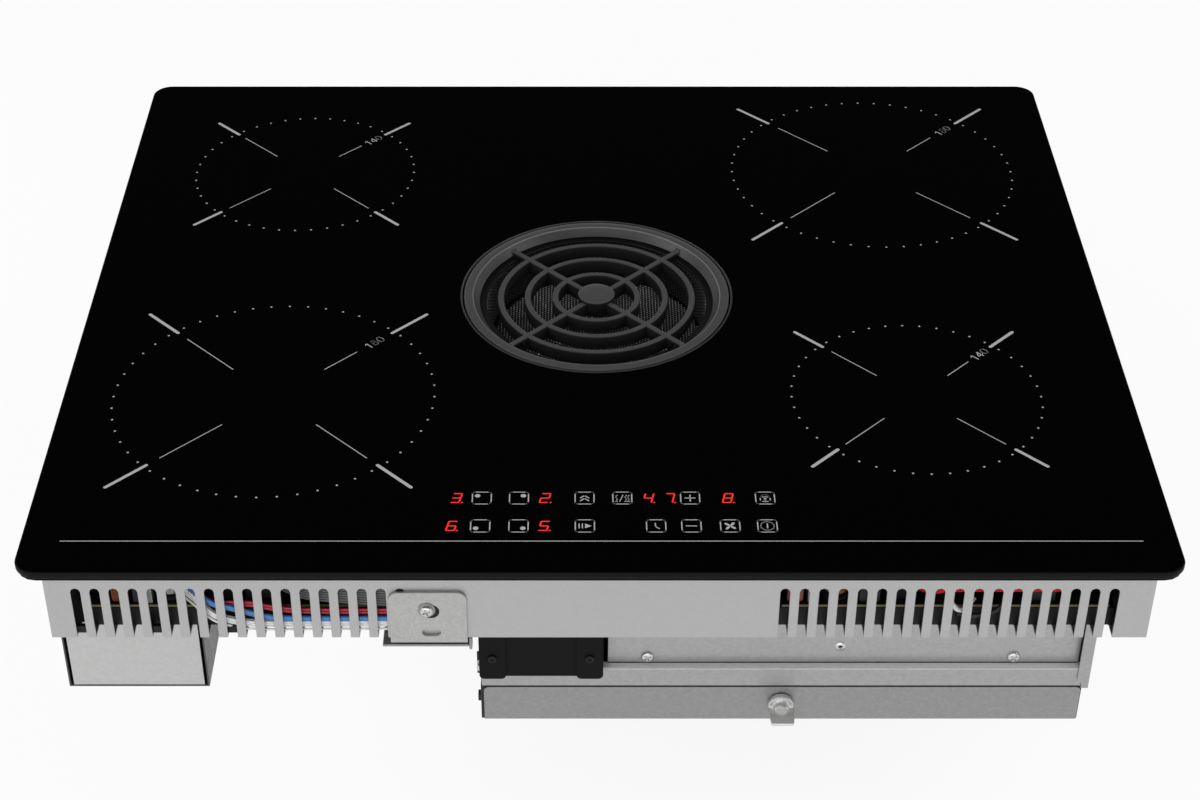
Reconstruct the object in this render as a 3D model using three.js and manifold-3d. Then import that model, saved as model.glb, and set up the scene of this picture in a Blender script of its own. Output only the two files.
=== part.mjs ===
// Downdraft induction cooktop: a glass hob with four induction zones on a sheet-metal chassis,
// and below it an extraction unit that draws cooking fumes down through a round grille.
//
// Millimetres. X runs to the right, Y to the back, Z up. The origin is the middle of the
// worktop cut-out, in the plane of the glass's underside. The front is the control side.

import * as THREE from 'three';
import { mergeVertices } from 'three/addons/utils/BufferGeometryUtils.js';
import Module from 'manifold-3d';

const wasm = await Module();
wasm.setup();

// ---------------------------------------------------------------- driving dimensions

const SEAT = 0.3; // gap left between a piece and what it rests on or fits into
const RUN = 1.5; // running gap round a piece that turns or slides

const GLASS = { width: 600, depth: 510, thickness: 4, corner: 12, holeRadius: 81 };
const OVERHANG = { side: 12, end: 11.5 }; // how far the glass stands past the chassis
const SEAL = { width: 7, thickness: 1.5, inset: 1 };

const CHASSIS = { height: 50.5, sheet: 1.2, lip: 9 };
const SLOT = { width: 5.1, drop: 16.5, floorRun: 11.5, count: 18 };
const LEFT_SLOTS = { edge: 16.1, pitch: 9.9 }; // first slot from the chassis's left side
const RIGHT_SLOTS = { edge: 20.8, pitch: 10.05 }; // last slot from the chassis's right side
const FLOOR_VENT = { length: 56, width: 5, pitch: 10, count: 5 };

const GRILLE = {
  lipRadius: 79,
  boreRadius: 73.3,
  proud: 0.4, // above the glass
  lipThickness: 2.2,
  wall: 2.4,
  depth: 0.5, // of the wall's foot, below the glass's underside
  taper: 3.8,
  ringRadii: [59, 43, 26.5],
  barWidth: 4,
  barHeight: 8,
  barDrop: 2.6, // below the top of the lip
  hubRadius: 11,
  hubDrop: 0.4,
};
const FILTER = { rimRadius: 71.5, rimWidth: 6.2, rimHeight: 1.5, depth: 26, draft: 4, sheet: 1.2 };
const WELL = { flangeRadius: 90, flangeHeight: 2.5, wall: 2.5, throatRadius: 62.6, spigot: 6 };

// middles and radii of the four cooking zones, from the middle of the glass
const ZONE_REAR_LEFT = { x: -186.8, y: 140.1, radius: 70 };
const ZONE_FRONT_LEFT = { x: -181.6, y: -103.8, radius: 90 };
const ZONE_REAR_RIGHT = { x: 178.6, y: 141, radius: 90 };
const ZONE_FRONT_RIGHT = { x: 178.7, y: -103.9, radius: 70 };
const COIL = { drop: 2.7, height: 6, boreRadius: 17, inset: 3, turns: 3, groove: 2 };
const CARRIER = { drop: 13.8, sheet: 1.2, outerGap: 4, innerEdge: 82, endGap: 6 };
const CARRIER_WINDOW = { length: 120, height: 22, pitch: 146, count: 3 };

const BOARD = { thickness: 1.6, top: 35, frontGap: 8.5, outerEdge: 20, innerEdge: 96, depth: 196 };
const TRAY = { wall: 2, margin: 3, floorGap: 0.3 };
const HEAT_SINK = { length: 96, width: 62, base: 3, height: 16, fins: 7, finWidth: 2 };
const CAPACITOR = { width: 8.6, length: 26, height: 15.5, corner: 1.2, setback: 2 };
const CAPACITOR_INSET = { left: 16, right: 7 }; // from the left edge of each board
const COIL_LEAD = { radius: 2.6, inset: 74, length: 72, tail: 12, rise: 16 }; // inset from the right board's left edge
const CHOKE = { radius: 8, waistRadius: 5.5, boreRadius: 2, height: 14, flange: 1.6, setback: 3 };
const CHOKE_INSET = { left: 42, right: 29 }; // from the left edge of each board

const COOLER = {
  size: 74,
  corner: 4,
  height: 22,
  gap: 17, // behind the board trays
  boreRadius: 34,
  hubRadius: 13,
  armWidth: 4,
  armHeight: 2,
  bossRadius: 10,
  bossHeight: 3,
  pinRadius: 1.5,
  pinDrop: 4, // below the top of the frame
  rotorDrop: 2,
  blades: 5,
  bladeWidth: 13,
  bladeThickness: 1.6,
  bladeAngle: 38,
};
const HARNESS = {
  blue: { start: -21, z: -40.5, in: 4, radius: 1.3 },
  red: { start: -26.5, z: -37.6, in: 1.3, radius: 0.9 },
  white: { start: -30.6, z: -44.4, in: 2, radius: 1.4 },
};
// the wires' common route: how far to the left of the board tray's right edge, and how far back or down
const HARNESS_ROUTE = { root: 118, rootBack: 9, lift: 110, liftBack: 4, liftDrop: 0.5, turn: 103, turnDrop: 2, dip: 88, level: 70, straight: 30 };
const CONNECTOR = { length: 8.5, depth: 6, height: 12, setback: 3 };

const TOUCH = { width: 200, depth: 52, drop: 2, thickness: 1.6, holderHeight: 9, holderWall: 2, frontGap: 3 };

const CLAMP = { x: -89.4, width: 40.4, top: 18, sheet: 1.5, corner: 5, leg: 20, slotWidth: 5, slotLength: 10, slotRise: 5, slotShift: 1.4 };
const CLAMP_SCREW = { headRadius: 4.5, headHeight: 2.6, shankRadius: 2, length: 9, drop: 29.5 };

const TERMINAL = { width: 76.5, height: 51.5, depth: 120, frontGap: 17.5, proud: 0.5, sheet: 1, flange: 8, plateGap: 1.6 };
const TERMINAL_BLOCK = { width: 46, depth: 24, height: 17, ways: 5, setback: 34, wellFloor: 6 };
const GLAND = { radius: 13, boreRadius: 6, length: 12, nutRadius: 16, nutLength: 5 };

const BOX = { width: 351.8, rightGap: 3.6, front: -156.5, panelStep: 4.5, back: 156.5, sheet: 1.2 };
const RAIL = { top: 153.2, bottom: 167.7, shelf: 14 }; // depths below the glass
const PANEL = { left: 73.8, right: 3, sheet: 1.2 }; // edges measured in from the box's sides
const SIDE_PLATE = { bottom: 164.6, flange: 7, sheet: 1.2, corner: 3, tabWidth: 4.2, tabDrop: 4 };
const HOUSING = {
  width: 71.8,
  overlap: 0.8, // past the left side of the box
  proud: 6.2,
  depth: 52,
  top: 56,
  bottom: 154,
  corner: 1.5,
  wall: 2,
  inset: 4, // the tub's right side, inside the cover's
  lug: 15.5,
  lugProud: 0.9,
  lugDrop: 1.5,
  lugInset: 4,
  lugCorner: 3,
  screwRadius: 2.2,
  screwRise: 15, // above the cover's lower edge
};
const CARD = { width: 59.8, height: 70, thickness: 1.6, setback: 12 };

const SCROLL = {
  centreY: -25,
  tongueRadius: 86,
  exitRadius: 107,
  tongueAngle: 70, // degrees from +X, turning towards +Y
  height: 87,
  wall: 2,
  inletMargin: 3, // the inlet's radius, inside the tongue's
  shaftGap: 6,
  exitWidth: 216,
  steps: 26,
};
const IMPELLER = {
  outerRadius: 80,
  innerRadius: 65,
  height: 66,
  blades: 22,
  bladeThickness: 1.4,
  sweep: 15, // degrees that a blade leans forward
  plate: 2,
  hubRadius: 10,
};
const MOTOR = { flangeRadius: 46, bodyRadius: 36, height: 34, shaftRadius: 4, flangeHeight: 4, shaftLength: 14 };
const INLET_RING = { throatRadius: 60, sheet: 1.6, rise: 5, overlap: 6 };
const COLLAR = { flange: 12, flangeThickness: 2, flangeCorner: 3, sheet: 1.6, length: 26, corner: 5 };

const DRIP = { height: 26.6, wall: 2.2, proud: 0.8, boss: 9, bossLength: 7 };
const DRIP_BUTTON = { radius: 3.4, height: 2.6, sunk: 0.6, setback: 9, drop: 3 };
const FRONT_PLATE = { sheet: 1.2, corner: 3.5, inset: 1.8, lift: 0.8 };
const GASKET = { thickness: 0.8, width: 8, inset: 1 };
const PLUG = {
  drop: 181, // axis below the glass's underside
  collarRadius: 7.3,
  collarLength: 3.6,
  neckRadius: 4.6,
  neckLength: 5,
  shankRadius: 4,
  shankLength: 11,
  wingWidth: 15.6,
  wingLength: 13,
  wingThickness: 2,
};
const PANEL_SCREW = { headRadius: 3.4, headHeight: 2.4, shankRadius: 1.6, length: 5, drop: 148.6 };
const PANEL_RIVET = { drop: 140.8, x: 33 }; // from the middle of the box
const SCREW_OFFSET = { left: -79, right: 134.5 }; // from the middle of the box

// ---------------------------------------------------------------- places worked out from them

const chassis = {
  left: -GLASS.width / 2 + OVERHANG.side,
  right: GLASS.width / 2 - OVERHANG.side,
  front: -GLASS.depth / 2 + OVERHANG.end,
  back: GLASS.depth / 2 - OVERHANG.end,
  top: -SEAT,
  bottom: -CHASSIS.height,
};
const zones = {
  rear_left: ZONE_REAR_LEFT,
  front_left: ZONE_FRONT_LEFT,
  rear_right: ZONE_REAR_RIGHT,
  front_right: ZONE_FRONT_RIGHT,
};
const floorTop = chassis.bottom + CHASSIS.sheet;
const glassTop = GLASS.thickness;
const lipTop = glassTop + GRILLE.proud;
const filterTop = -GRILLE.depth - SEAT;
const ledge = filterTop - FILTER.rimHeight - SEAT;
const cupRadius = FILTER.rimRadius - FILTER.rimWidth;

const fanBox = {
  left: chassis.right - BOX.rightGap - BOX.width,
  right: chassis.right - BOX.rightGap,
  front: BOX.front,
  back: BOX.back,
  top: chassis.bottom - SEAT,
  bottom: -RAIL.bottom,
};
fanBox.middle = (fanBox.left + fanBox.right) / 2;
fanBox.panelFace = fanBox.front + BOX.panelStep;
fanBox.innerTop = fanBox.top - BOX.sheet;

const boardFront = chassis.front + BOARD.frontGap;
const coolerY = boardFront + BOARD.depth + TRAY.margin + COOLER.gap + COOLER.size / 2;
const cooler = { bottom: floorTop + SEAT, top: floorTop + SEAT + COOLER.height };

const wellBottom = fanBox.innerTop - WELL.spigot;
const scroll = {
  x: fanBox.right - BOX.sheet - RUN - SCROLL.wall - SCROLL.exitRadius,
  y: SCROLL.centreY,
  top: fanBox.innerTop - SEAT,
};
scroll.bottom = scroll.top - SCROLL.height;
scroll.exitY = fanBox.back - BOX.sheet - SEAT;
const tray = { top: fanBox.bottom - GASKET.thickness - 2 * SEAT };
tray.bottom = tray.top - DRIP.height;

// ---------------------------------------------------------------- geometry helpers

/** The closed body that a geometry bounds, ready to be joined or cut. */
function bodyOf(geometry) {
  const bare = geometry.clone();
  bare.deleteAttribute('normal');
  bare.deleteAttribute('uv');
  const merged = mergeVertices(bare, 1e-4);
  const positions = merged.attributes.position.array;
  const corners = merged.index.array;
  const triangles = [];
  let volume = 0;
  for (let i = 0; i < corners.length; i += 3) {
    const [a, b, c] = [corners[i], corners[i + 1], corners[i + 2]];
    if (a === b || b === c || c === a) continue;
    triangles.push([a, b, c]);
    const [p, q, r] = [a, b, c].map((k) => new THREE.Vector3().fromArray(positions, 3 * k));
    volume += p.dot(q.cross(r));
  }
  const facing = volume < 0 ? triangles.map(([a, b, c]) => [a, c, b]) : triangles;
  return new wasm.Manifold(new wasm.Mesh({
    numProp: 3,
    vertProperties: new Float32Array(positions),
    triVerts: new Uint32Array(facing.flat()),
  }));
}

/** A three.js geometry with the faces of a joined or cut body. */
function geometryOf(body) {
  const mesh = body.getMesh();
  const geometry = new THREE.BufferGeometry();
  geometry.setAttribute('position', new THREE.BufferAttribute(new Float32Array(mesh.vertProperties), 3));
  geometry.setIndex(new THREE.BufferAttribute(new Uint32Array(mesh.triVerts), 1));
  return geometry;
}

/** Geometries joined into one. */
function join(...geometries) {
  return geometryOf(wasm.Manifold.union(geometries.flat(2).map(bodyOf)));
}

/** A geometry with others cut out of it. */
function cut(geometry, ...tools) {
  return geometryOf(bodyOf(geometry).subtract(wasm.Manifold.union(tools.flat(2).map(bodyOf))));
}

/** A block between two values on each axis. */
function block(x0, x1, y0, y1, z0, z1) {
  const geometry = new THREE.BoxGeometry(x1 - x0, y1 - y0, z1 - z0);
  return geometry.translate((x0 + x1) / 2, (y0 + y1) / 2, (z0 + z1) / 2);
}

/** A closed outline through corner points. */
function outline(points) {
  return new THREE.Shape(points.map(([x, y]) => new THREE.Vector2(x, y)));
}

/** A rectangle whose corners are rounded, by one radius or by four from the lower left round. */
function rounded(x0, x1, y0, y1, radius) {
  const [a, b, c, d] = Array.isArray(radius) ? radius : [radius, radius, radius, radius];
  const shape = new THREE.Shape();
  shape.moveTo(x0, y0 + a);
  if (a) shape.absarc(x0 + a, y0 + a, a, Math.PI, 1.5 * Math.PI, false);
  else shape.lineTo(x0, y0);
  if (b) shape.absarc(x1 - b, y0 + b, b, 1.5 * Math.PI, 2 * Math.PI, false);
  else shape.lineTo(x1, y0);
  if (c) shape.absarc(x1 - c, y1 - c, c, 0, 0.5 * Math.PI, false);
  else shape.lineTo(x1, y1);
  if (d) shape.absarc(x0 + d, y1 - d, d, 0.5 * Math.PI, Math.PI, false);
  else shape.lineTo(x0, y1);
  return shape;
}

/** A shape in X and Y, raised from z0 to z1. */
function raise(shape, z0, z1, curveSegments = 3) {
  const geometry = new THREE.ExtrudeGeometry(shape, { depth: z1 - z0, bevelEnabled: false, curveSegments });
  return geometry.translate(0, 0, z0);
}

/** A shape in X and Z, drawn back from y0 to y1. */
function drawBack(shape, y0, y1, curveSegments = 3) {
  const geometry = new THREE.ExtrudeGeometry(shape, { depth: y1 - y0, bevelEnabled: false, curveSegments });
  return geometry.rotateX(Math.PI / 2).translate(0, y1, 0);
}

/** A shape in Y and Z, drawn to the right from x0 to x1. */
function drawRight(shape, x0, x1, curveSegments = 3) {
  const geometry = new THREE.ExtrudeGeometry(shape, { depth: x1 - x0, bevelEnabled: false, curveSegments });
  const turn = new THREE.Matrix4().makeBasis(
    new THREE.Vector3(0, 1, 0),
    new THREE.Vector3(0, 0, 1),
    new THREE.Vector3(1, 0, 0),
  );
  return geometry.applyMatrix4(turn).translate(x0, 0, 0);
}

/** A body of revolution about Z from [radius, height] points, closed if it is a ring. */
function turned(points, segments) {
  const isRing = points.every(([radius]) => radius > 0);
  const profile = points.map(([radius, height]) => new THREE.Vector2(radius, height));
  if (isRing) profile.push(profile[0].clone());
  return new THREE.LatheGeometry(profile, segments).rotateX(Math.PI / 2);
}

/** An upright cylinder. */
function post(x, y, radius, z0, z1, segments = 16) {
  const geometry = new THREE.CylinderGeometry(radius, radius, z1 - z0, segments);
  return geometry.rotateX(Math.PI / 2).translate(x, y, (z0 + z1) / 2);
}

/** A cylinder lying along Y. */
function bar(x, z, radius, y0, y1, segments = 16) {
  return new THREE.CylinderGeometry(radius, radius, y1 - y0, segments).translate(x, (y0 + y1) / 2, z);
}

/** A wire of round section through points. */
function wire(points, radius, steps, sides = 6) {
  const section = new THREE.Shape();
  for (let i = 0; i < sides; i += 1) {
    const angle = (2 * Math.PI * i) / sides;
    const [x, y] = [radius * Math.cos(angle), radius * Math.sin(angle)];
    if (i === 0) section.moveTo(x, y);
    else section.lineTo(x, y);
  }
  const path = new THREE.CatmullRomCurve3(points.map(([x, y, z]) => new THREE.Vector3(x, y, z)));
  return new THREE.ExtrudeGeometry(section, { extrudePath: path, steps, bevelEnabled: false });
}

/** Whole numbers from 0 up to a count. */
function times(count) {
  return Array.from({ length: count }, (_, i) => i);
}

// ---------------------------------------------------------------- glass, grille, filter and well

function glassPlate() {
  const shape = rounded(-GLASS.width / 2, GLASS.width / 2, -GLASS.depth / 2, GLASS.depth / 2, GLASS.corner);
  const plate = raise(shape, 0, glassTop, 4);
  return cut(plate, post(0, 0, GLASS.holeRadius, -1, glassTop + 1, 56));
}

function glassSeal() {
  const [x, y] = [GLASS.width / 2 - SEAL.inset, GLASS.depth / 2 - SEAL.inset];
  const outer = rounded(-x, x, -y, y, GLASS.corner - SEAL.inset);
  const [u, v] = [x - SEAL.width, y - SEAL.width];
  outer.holes.push(rounded(-u, u, -v, v, GLASS.corner - SEAL.inset - SEAL.width / 2));
  return raise(outer, -SEAT - SEAL.thickness, -SEAT, 2);
}

/** Inner radius of the grille's sloping wall at a height. */
function grilleBore(z) {
  return GRILLE.boreRadius - (GRILLE.taper * (lipTop - z)) / (lipTop + GRILLE.depth);
}

function grilleRing(radius, segments) {
  const top = lipTop - GRILLE.barDrop;
  const bottom = top - GRILLE.barHeight;
  const inner = radius - GRILLE.barWidth;
  const bevel = GRILLE.barWidth / 5;
  return turned([
    [inner + bevel / 2, bottom],
    [radius - bevel / 2, bottom],
    [radius, top - bevel],
    [radius - bevel, top],
    [inner + bevel, top],
    [inner, top - bevel],
  ], segments);
}

/** A spoke from the middle to the wall, stepped up at its end to clear the filter's rim. */
function grilleSpoke(degrees) {
  const top = lipTop - GRILLE.barDrop;
  const bottom = top - GRILLE.barHeight;
  const foot = -GRILLE.depth;
  const step = cupRadius - FILTER.sheet - RUN;
  const reach = (z) => grilleBore(z) + GRILLE.wall / 2;
  const side = outline([[0, bottom], [step, bottom], [step, foot], [reach(foot), foot], [reach(top), top], [0, top]]);
  const half = GRILLE.barWidth / 2;
  return drawRight(side, -half, half).rotateZ(THREE.MathUtils.degToRad(degrees));
}

/** The cast grille, flush in the glass: its rim, three rings, four spokes and a hub. */
function grille() {
  const under = lipTop - GRILLE.lipThickness;
  const edge = GRILLE.lipThickness / 4;
  const rim = turned([
    [GRILLE.lipRadius, under],
    [GRILLE.lipRadius, lipTop - edge],
    [GRILLE.lipRadius - edge, lipTop],
    [GRILLE.boreRadius + edge, lipTop],
    [grilleBore(lipTop - edge), lipTop - edge],
    [grilleBore(-GRILLE.depth), -GRILLE.depth],
    [grilleBore(-GRILLE.depth) + GRILLE.wall, -GRILLE.depth],
    [grilleBore(under) + GRILLE.wall, under],
  ], 48);
  const rings = GRILLE.ringRadii.map((radius) => grilleRing(radius, Math.max(24, Math.round(radius * 0.62))));
  const barFoot = lipTop - GRILLE.barDrop - GRILLE.barHeight;
  const hub = post(0, 0, GRILLE.hubRadius, barFoot, lipTop - GRILLE.hubDrop, 24);
  return join(rim, rings, hub, [45, 135, 225, 315].map(grilleSpoke));
}

function greaseFilter() {
  const rimBottom = filterTop - FILTER.rimHeight;
  const floor = filterTop - FILTER.depth;
  const base = cupRadius - FILTER.draft;
  return turned([
    [0, floor],
    [base, floor],
    [cupRadius, rimBottom],
    [FILTER.rimRadius, rimBottom],
    [FILTER.rimRadius, filterTop],
    [cupRadius - FILTER.sheet, filterTop],
    [base - FILTER.sheet, floor + FILTER.sheet],
    [0, floor + FILTER.sheet],
  ], 32);
}

/** Outer radius of the well's tube at a height below its ledge. */
function wellOuter(z) {
  const topRadius = cupRadius + RUN + WELL.wall;
  const bottomRadius = WELL.throatRadius + WELL.wall;
  return topRadius + ((bottomRadius - topRadius) * (ledge - z)) / (ledge - wellBottom);
}

function inletWell() {
  const seatRadius = FILTER.rimRadius + RUN;
  return turned([
    [GLASS.holeRadius, -SEAT],
    [seatRadius, ledge],
    [cupRadius + RUN, ledge],
    [WELL.throatRadius, wellBottom],
    [WELL.throatRadius + WELL.wall, wellBottom],
    [wellOuter(ledge - WELL.wall), ledge - WELL.wall],
    [seatRadius + WELL.wall, ledge - WELL.wall],
    [GLASS.holeRadius + WELL.wall, -SEAT - WELL.flangeHeight],
    [WELL.flangeRadius, -SEAT - WELL.flangeHeight],
    [WELL.flangeRadius, -SEAT],
  ], 36);
}

// ---------------------------------------------------------------- chassis

/** A slot down the front skirt, round at its top, that runs on into the floor with a round end. */
function frontSlot(x) {
  const half = SLOT.width / 2;
  const skirt = rounded(x - half, x + half, chassis.bottom - 1, -SLOT.drop, [0, 0, half, half]);
  const run = chassis.front + SLOT.floorRun;
  const floor = rounded(x - half, x + half, chassis.front - 1, run, [0, 0, half, half]);
  return join(
    drawBack(skirt, chassis.front - 1, chassis.front + CHASSIS.sheet + 1, 1),
    raise(floor, chassis.bottom - 1, floorTop + 1, 1),
  );
}

function slotPlaces() {
  const left = times(SLOT.count).map((i) => chassis.left + LEFT_SLOTS.edge + i * LEFT_SLOTS.pitch);
  const right = times(SLOT.count).map((i) => chassis.right - RIGHT_SLOTS.edge - i * RIGHT_SLOTS.pitch);
  return [...left, ...right];
}

/** Middles of the two cooling fans, left and right. */
function coolerPlaces() {
  const middle = (chassis.left + BOARD.outerEdge - BOARD.innerEdge) / 2;
  return [middle, -middle];
}

function floorVents(x) {
  return times(FLOOR_VENT.count).map((i) => {
    const y = coolerY + (i - (FLOOR_VENT.count - 1) / 2) * FLOOR_VENT.pitch;
    const [u, v] = [FLOOR_VENT.length / 2, FLOOR_VENT.width / 2];
    return block(x - u, x + u, y - v, y + v, chassis.bottom - 1, floorTop + 1);
  });
}

function chassisPan() {
  const { left, right, front, back, top, bottom } = chassis;
  const t = CHASSIS.sheet;
  const lip = CHASSIS.lip + t;
  const shell = block(left, right, front, back, bottom, top);
  const inside = block(left + t, right - t, front + t, back - t, floorTop, top - t);
  const mouth = block(left + lip, right - lip, front + lip, back - lip, top - t - 1, top + 1);
  const wellHole = post(0, 0, wellOuter(chassis.bottom) + RUN, bottom - 1, floorTop + 1, 40);
  return cut(shell, inside, mouth, wellHole, slotPlaces().map(frontSlot), coolerPlaces().map(floorVents));
}

// ---------------------------------------------------------------- inside the hob

const coilBottom = -COIL.drop - COIL.height;
const carrierTop = -CARRIER.drop;
const boardTop = -BOARD.top;
const boardBottom = boardTop - BOARD.thickness;

/** A flat coil: a ring whose upper face shows its turns. */
function coil(zone) {
  const outer = zone.radius - COIL.inset;
  const step = (outer - COIL.boreRadius) / COIL.turns;
  const points = [[COIL.boreRadius, coilBottom], [outer, coilBottom]];
  for (const i of times(COIL.turns)) {
    const edge = outer - i * step;
    points.push([edge, -COIL.drop]);
    points.push([edge - step + COIL.groove, -COIL.drop]);
    points.push([edge - step + COIL.groove / 2, -COIL.drop - COIL.groove]);
  }
  points.pop();
  return turned(points, 18).translate(zone.x, zone.y, 0);
}

/** A folded plate that stands on the chassis floor and carries the two coils of one side. */
function coilCarrier(side) {
  const t = CARRIER.sheet;
  const outer = chassis.right - CHASSIS.sheet - CARRIER.outerGap;
  const [y0, y1] = [chassis.front + CARRIER.endGap, chassis.back - CARRIER.endGap];
  const foot = floorTop + SEAT;
  const profile = outline([
    [CARRIER.innerEdge, foot],
    [CARRIER.innerEdge + t, foot],
    [CARRIER.innerEdge + t, carrierTop - t],
    [outer - t, carrierTop - t],
    [outer - t, foot],
    [outer, foot],
    [outer, carrierTop],
    [CARRIER.innerEdge, carrierTop],
  ].map(([x, z]) => [side * x, z]));
  const plate = drawBack(profile, y0, y1);
  const own = Object.values(zones).filter((zone) => Math.sign(zone.x) === side);
  const seats = own.map((zone) => {
    const ring = turned([
      [COIL.boreRadius + COIL.inset, carrierTop - t / 2],
      [zone.radius - 2 * COIL.inset, carrierTop - t / 2],
      [zone.radius - 2 * COIL.inset, coilBottom - SEAT],
      [COIL.boreRadius + COIL.inset, coilBottom - SEAT],
    ], 18);
    return ring.translate(zone.x, zone.y, 0);
  });
  const bores = own.map((zone) => post(zone.x, zone.y, COIL.boreRadius, carrierTop - 2 * t, carrierTop + 1, 12));
  const windows = times(CARRIER_WINDOW.count).map((i) => {
    const y = (i - (CARRIER_WINDOW.count - 1) / 2) * CARRIER_WINDOW.pitch;
    const [v, z] = [CARRIER_WINDOW.length / 2, (foot + carrierTop) / 2];
    const h = CARRIER_WINDOW.height / 2;
    const [x0, x1] = [CARRIER.innerEdge - 1, outer + 1].map((x) => side * x);
    return block(Math.min(x0, x1), Math.max(x0, x1), y - v, y + v, z - h, z + h);
  });
  return cut(join(plate, seats), bores, windows);
}

/** X limits of the left or right power board, from left to right. */
function boardSpan(side) {
  const edges = [side * BOARD.innerEdge, side * (chassis.right - BOARD.outerEdge)];
  return edges.sort((a, b) => a - b);
}

function powerBoard(side) {
  const [x0, x1] = boardSpan(side);
  return block(x0, x1, boardFront, boardFront + BOARD.depth, boardBottom, boardTop);
}

function boardTray(side) {
  const [x0, x1] = boardSpan(side);
  const m = TRAY.margin;
  const [y0, y1] = [boardFront - SEAT, boardFront + BOARD.depth + m];
  const [z0, z1] = [floorTop + TRAY.floorGap, boardBottom - SEAT];
  const shell = block(x0 - m, x1 + m, y0, y1, z0, z1);
  return cut(shell, block(x0 - m + TRAY.wall, x1 + m - TRAY.wall, y0 + TRAY.wall, y1 - TRAY.wall, z0 + TRAY.wall, z1 + 1));
}

function heatSink(side) {
  const [x0, x1] = boardSpan(side);
  const left = (x0 + x1 - HEAT_SINK.width) / 2;
  const pitch = (HEAT_SINK.width - HEAT_SINK.finWidth) / (HEAT_SINK.fins - 1);
  const base = boardTop + SEAT;
  const comb = [[left, base], [left + HEAT_SINK.width, base]];
  for (const i of times(HEAT_SINK.fins)) {
    const right = left + HEAT_SINK.width - i * pitch;
    comb.push([right, base + HEAT_SINK.height]);
    comb.push([right - HEAT_SINK.finWidth, base + HEAT_SINK.height]);
    if (i === HEAT_SINK.fins - 1) break;
    comb.push([right - HEAT_SINK.finWidth, base + HEAT_SINK.base]);
    comb.push([right - pitch, base + HEAT_SINK.base]);
  }
  const back = boardFront + BOARD.depth - 2 * TRAY.margin;
  return drawBack(outline(comb), back - HEAT_SINK.length, back);
}

/** A film capacitor that stands on a board behind its front edge. */
function filmCapacitor(side, inset) {
  const x = boardSpan(side)[0] + inset;
  const y = boardFront + CAPACITOR.setback;
  const base = boardTop + SEAT;
  const [u, h] = [CAPACITOR.width / 2, CAPACITOR.height];
  return drawBack(rounded(x - u, x + u, base, base + h, CAPACITOR.corner), y, y + CAPACITOR.length, 1);
}

/** A drum choke that lies across a board, with its winding between two flanges. */
function choke(side, inset) {
  const x = boardSpan(side)[0] + inset;
  const { radius, waistRadius, boreRadius, height, flange, setback } = CHOKE;
  const base = boardTop + SEAT + radius;
  const drum = turned([
    [boreRadius, 0],
    [radius, 0],
    [radius, flange],
    [waistRadius + 1, flange],
    [waistRadius + 1, height - flange],
    [radius, height - flange],
    [radius, height],
    [boreRadius, height],
  ], 12);
  return drum.rotateY(Math.PI / 2).translate(x - height / 2, boardFront + setback + radius, base);
}

/** The square frame of a cooling fan: its bore, three arms and the pin that carries the rotor. */
function coolerFrame(x) {
  const { boreRadius, armWidth, armHeight, bossRadius, bossHeight, pinRadius, pinDrop, corner } = COOLER;
  const half = COOLER.size / 2;
  const { bottom, top } = cooler;
  const shape = rounded(x - half, x + half, coolerY - half, coolerY + half, corner);
  const ring = cut(raise(shape, bottom, top, 1), post(x, coolerY, boreRadius, bottom - 1, top + 1, 28));
  const arms = [0, 120, 240].map((degrees) => {
    const arm = block(0, boreRadius + 1, -armWidth / 2, armWidth / 2, bottom, bottom + armHeight);
    return arm.rotateZ(THREE.MathUtils.degToRad(degrees)).translate(x, coolerY, 0);
  });
  const boss = post(x, coolerY, bossRadius, bottom, bottom + bossHeight, 12);
  const pin = post(x, coolerY, pinRadius, bottom, top - pinDrop, 8);
  return join(ring, arms, boss, pin);
}

/** The rotor of a cooling fan, drawn about its own axis, on the frame's pin. */
function coolerRotor() {
  const { hubRadius, blades, bladeWidth, bladeThickness, bladeAngle } = COOLER;
  const z0 = cooler.bottom + COOLER.bossHeight + RUN;
  const z1 = cooler.top - COOLER.rotorDrop;
  const bore = COOLER.pinRadius + SEAT;
  const pinTop = cooler.top - COOLER.pinDrop + SEAT;
  const hub = turned([
    [0, pinTop],
    [bore, pinTop],
    [bore, z0],
    [hubRadius, z0],
    [hubRadius, z1],
    [0, z1],
  ], 20);
  const reach = COOLER.boreRadius - RUN;
  const [u, v] = [bladeThickness / 2, bladeWidth / 2];
  const vanes = times(blades).map((i) => {
    const vane = block(hubRadius - 2, reach, -u, u, -v, v);
    vane.rotateX(THREE.MathUtils.degToRad(bladeAngle)).translate(0, 0, (z0 + z1) / 2);
    return vane.rotateZ((2 * Math.PI * i) / blades);
  });
  return cut(join(hub, vanes), post(0, 0, bore, z0 - 1, pinTop, 8));
}

function touchBoard() {
  const y = chassis.front + CHASSIS.sheet + TOUCH.frontGap;
  const half = TOUCH.width / 2;
  return block(-half, half, y, y + TOUCH.depth, -TOUCH.drop - TOUCH.thickness, -TOUCH.drop);
}

function touchHolder() {
  const y = chassis.front + CHASSIS.sheet + TOUCH.frontGap;
  const half = TOUCH.width / 2;
  const top = -TOUCH.drop - TOUCH.thickness - SEAT;
  const w = TOUCH.holderWall;
  const shell = block(-half, half, y, y + TOUCH.depth, top - TOUCH.holderHeight, top);
  return cut(shell, block(-half + w, half - w, y + w, y + TOUCH.depth - w, top - TOUCH.holderHeight + w, top + 1));
}

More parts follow.
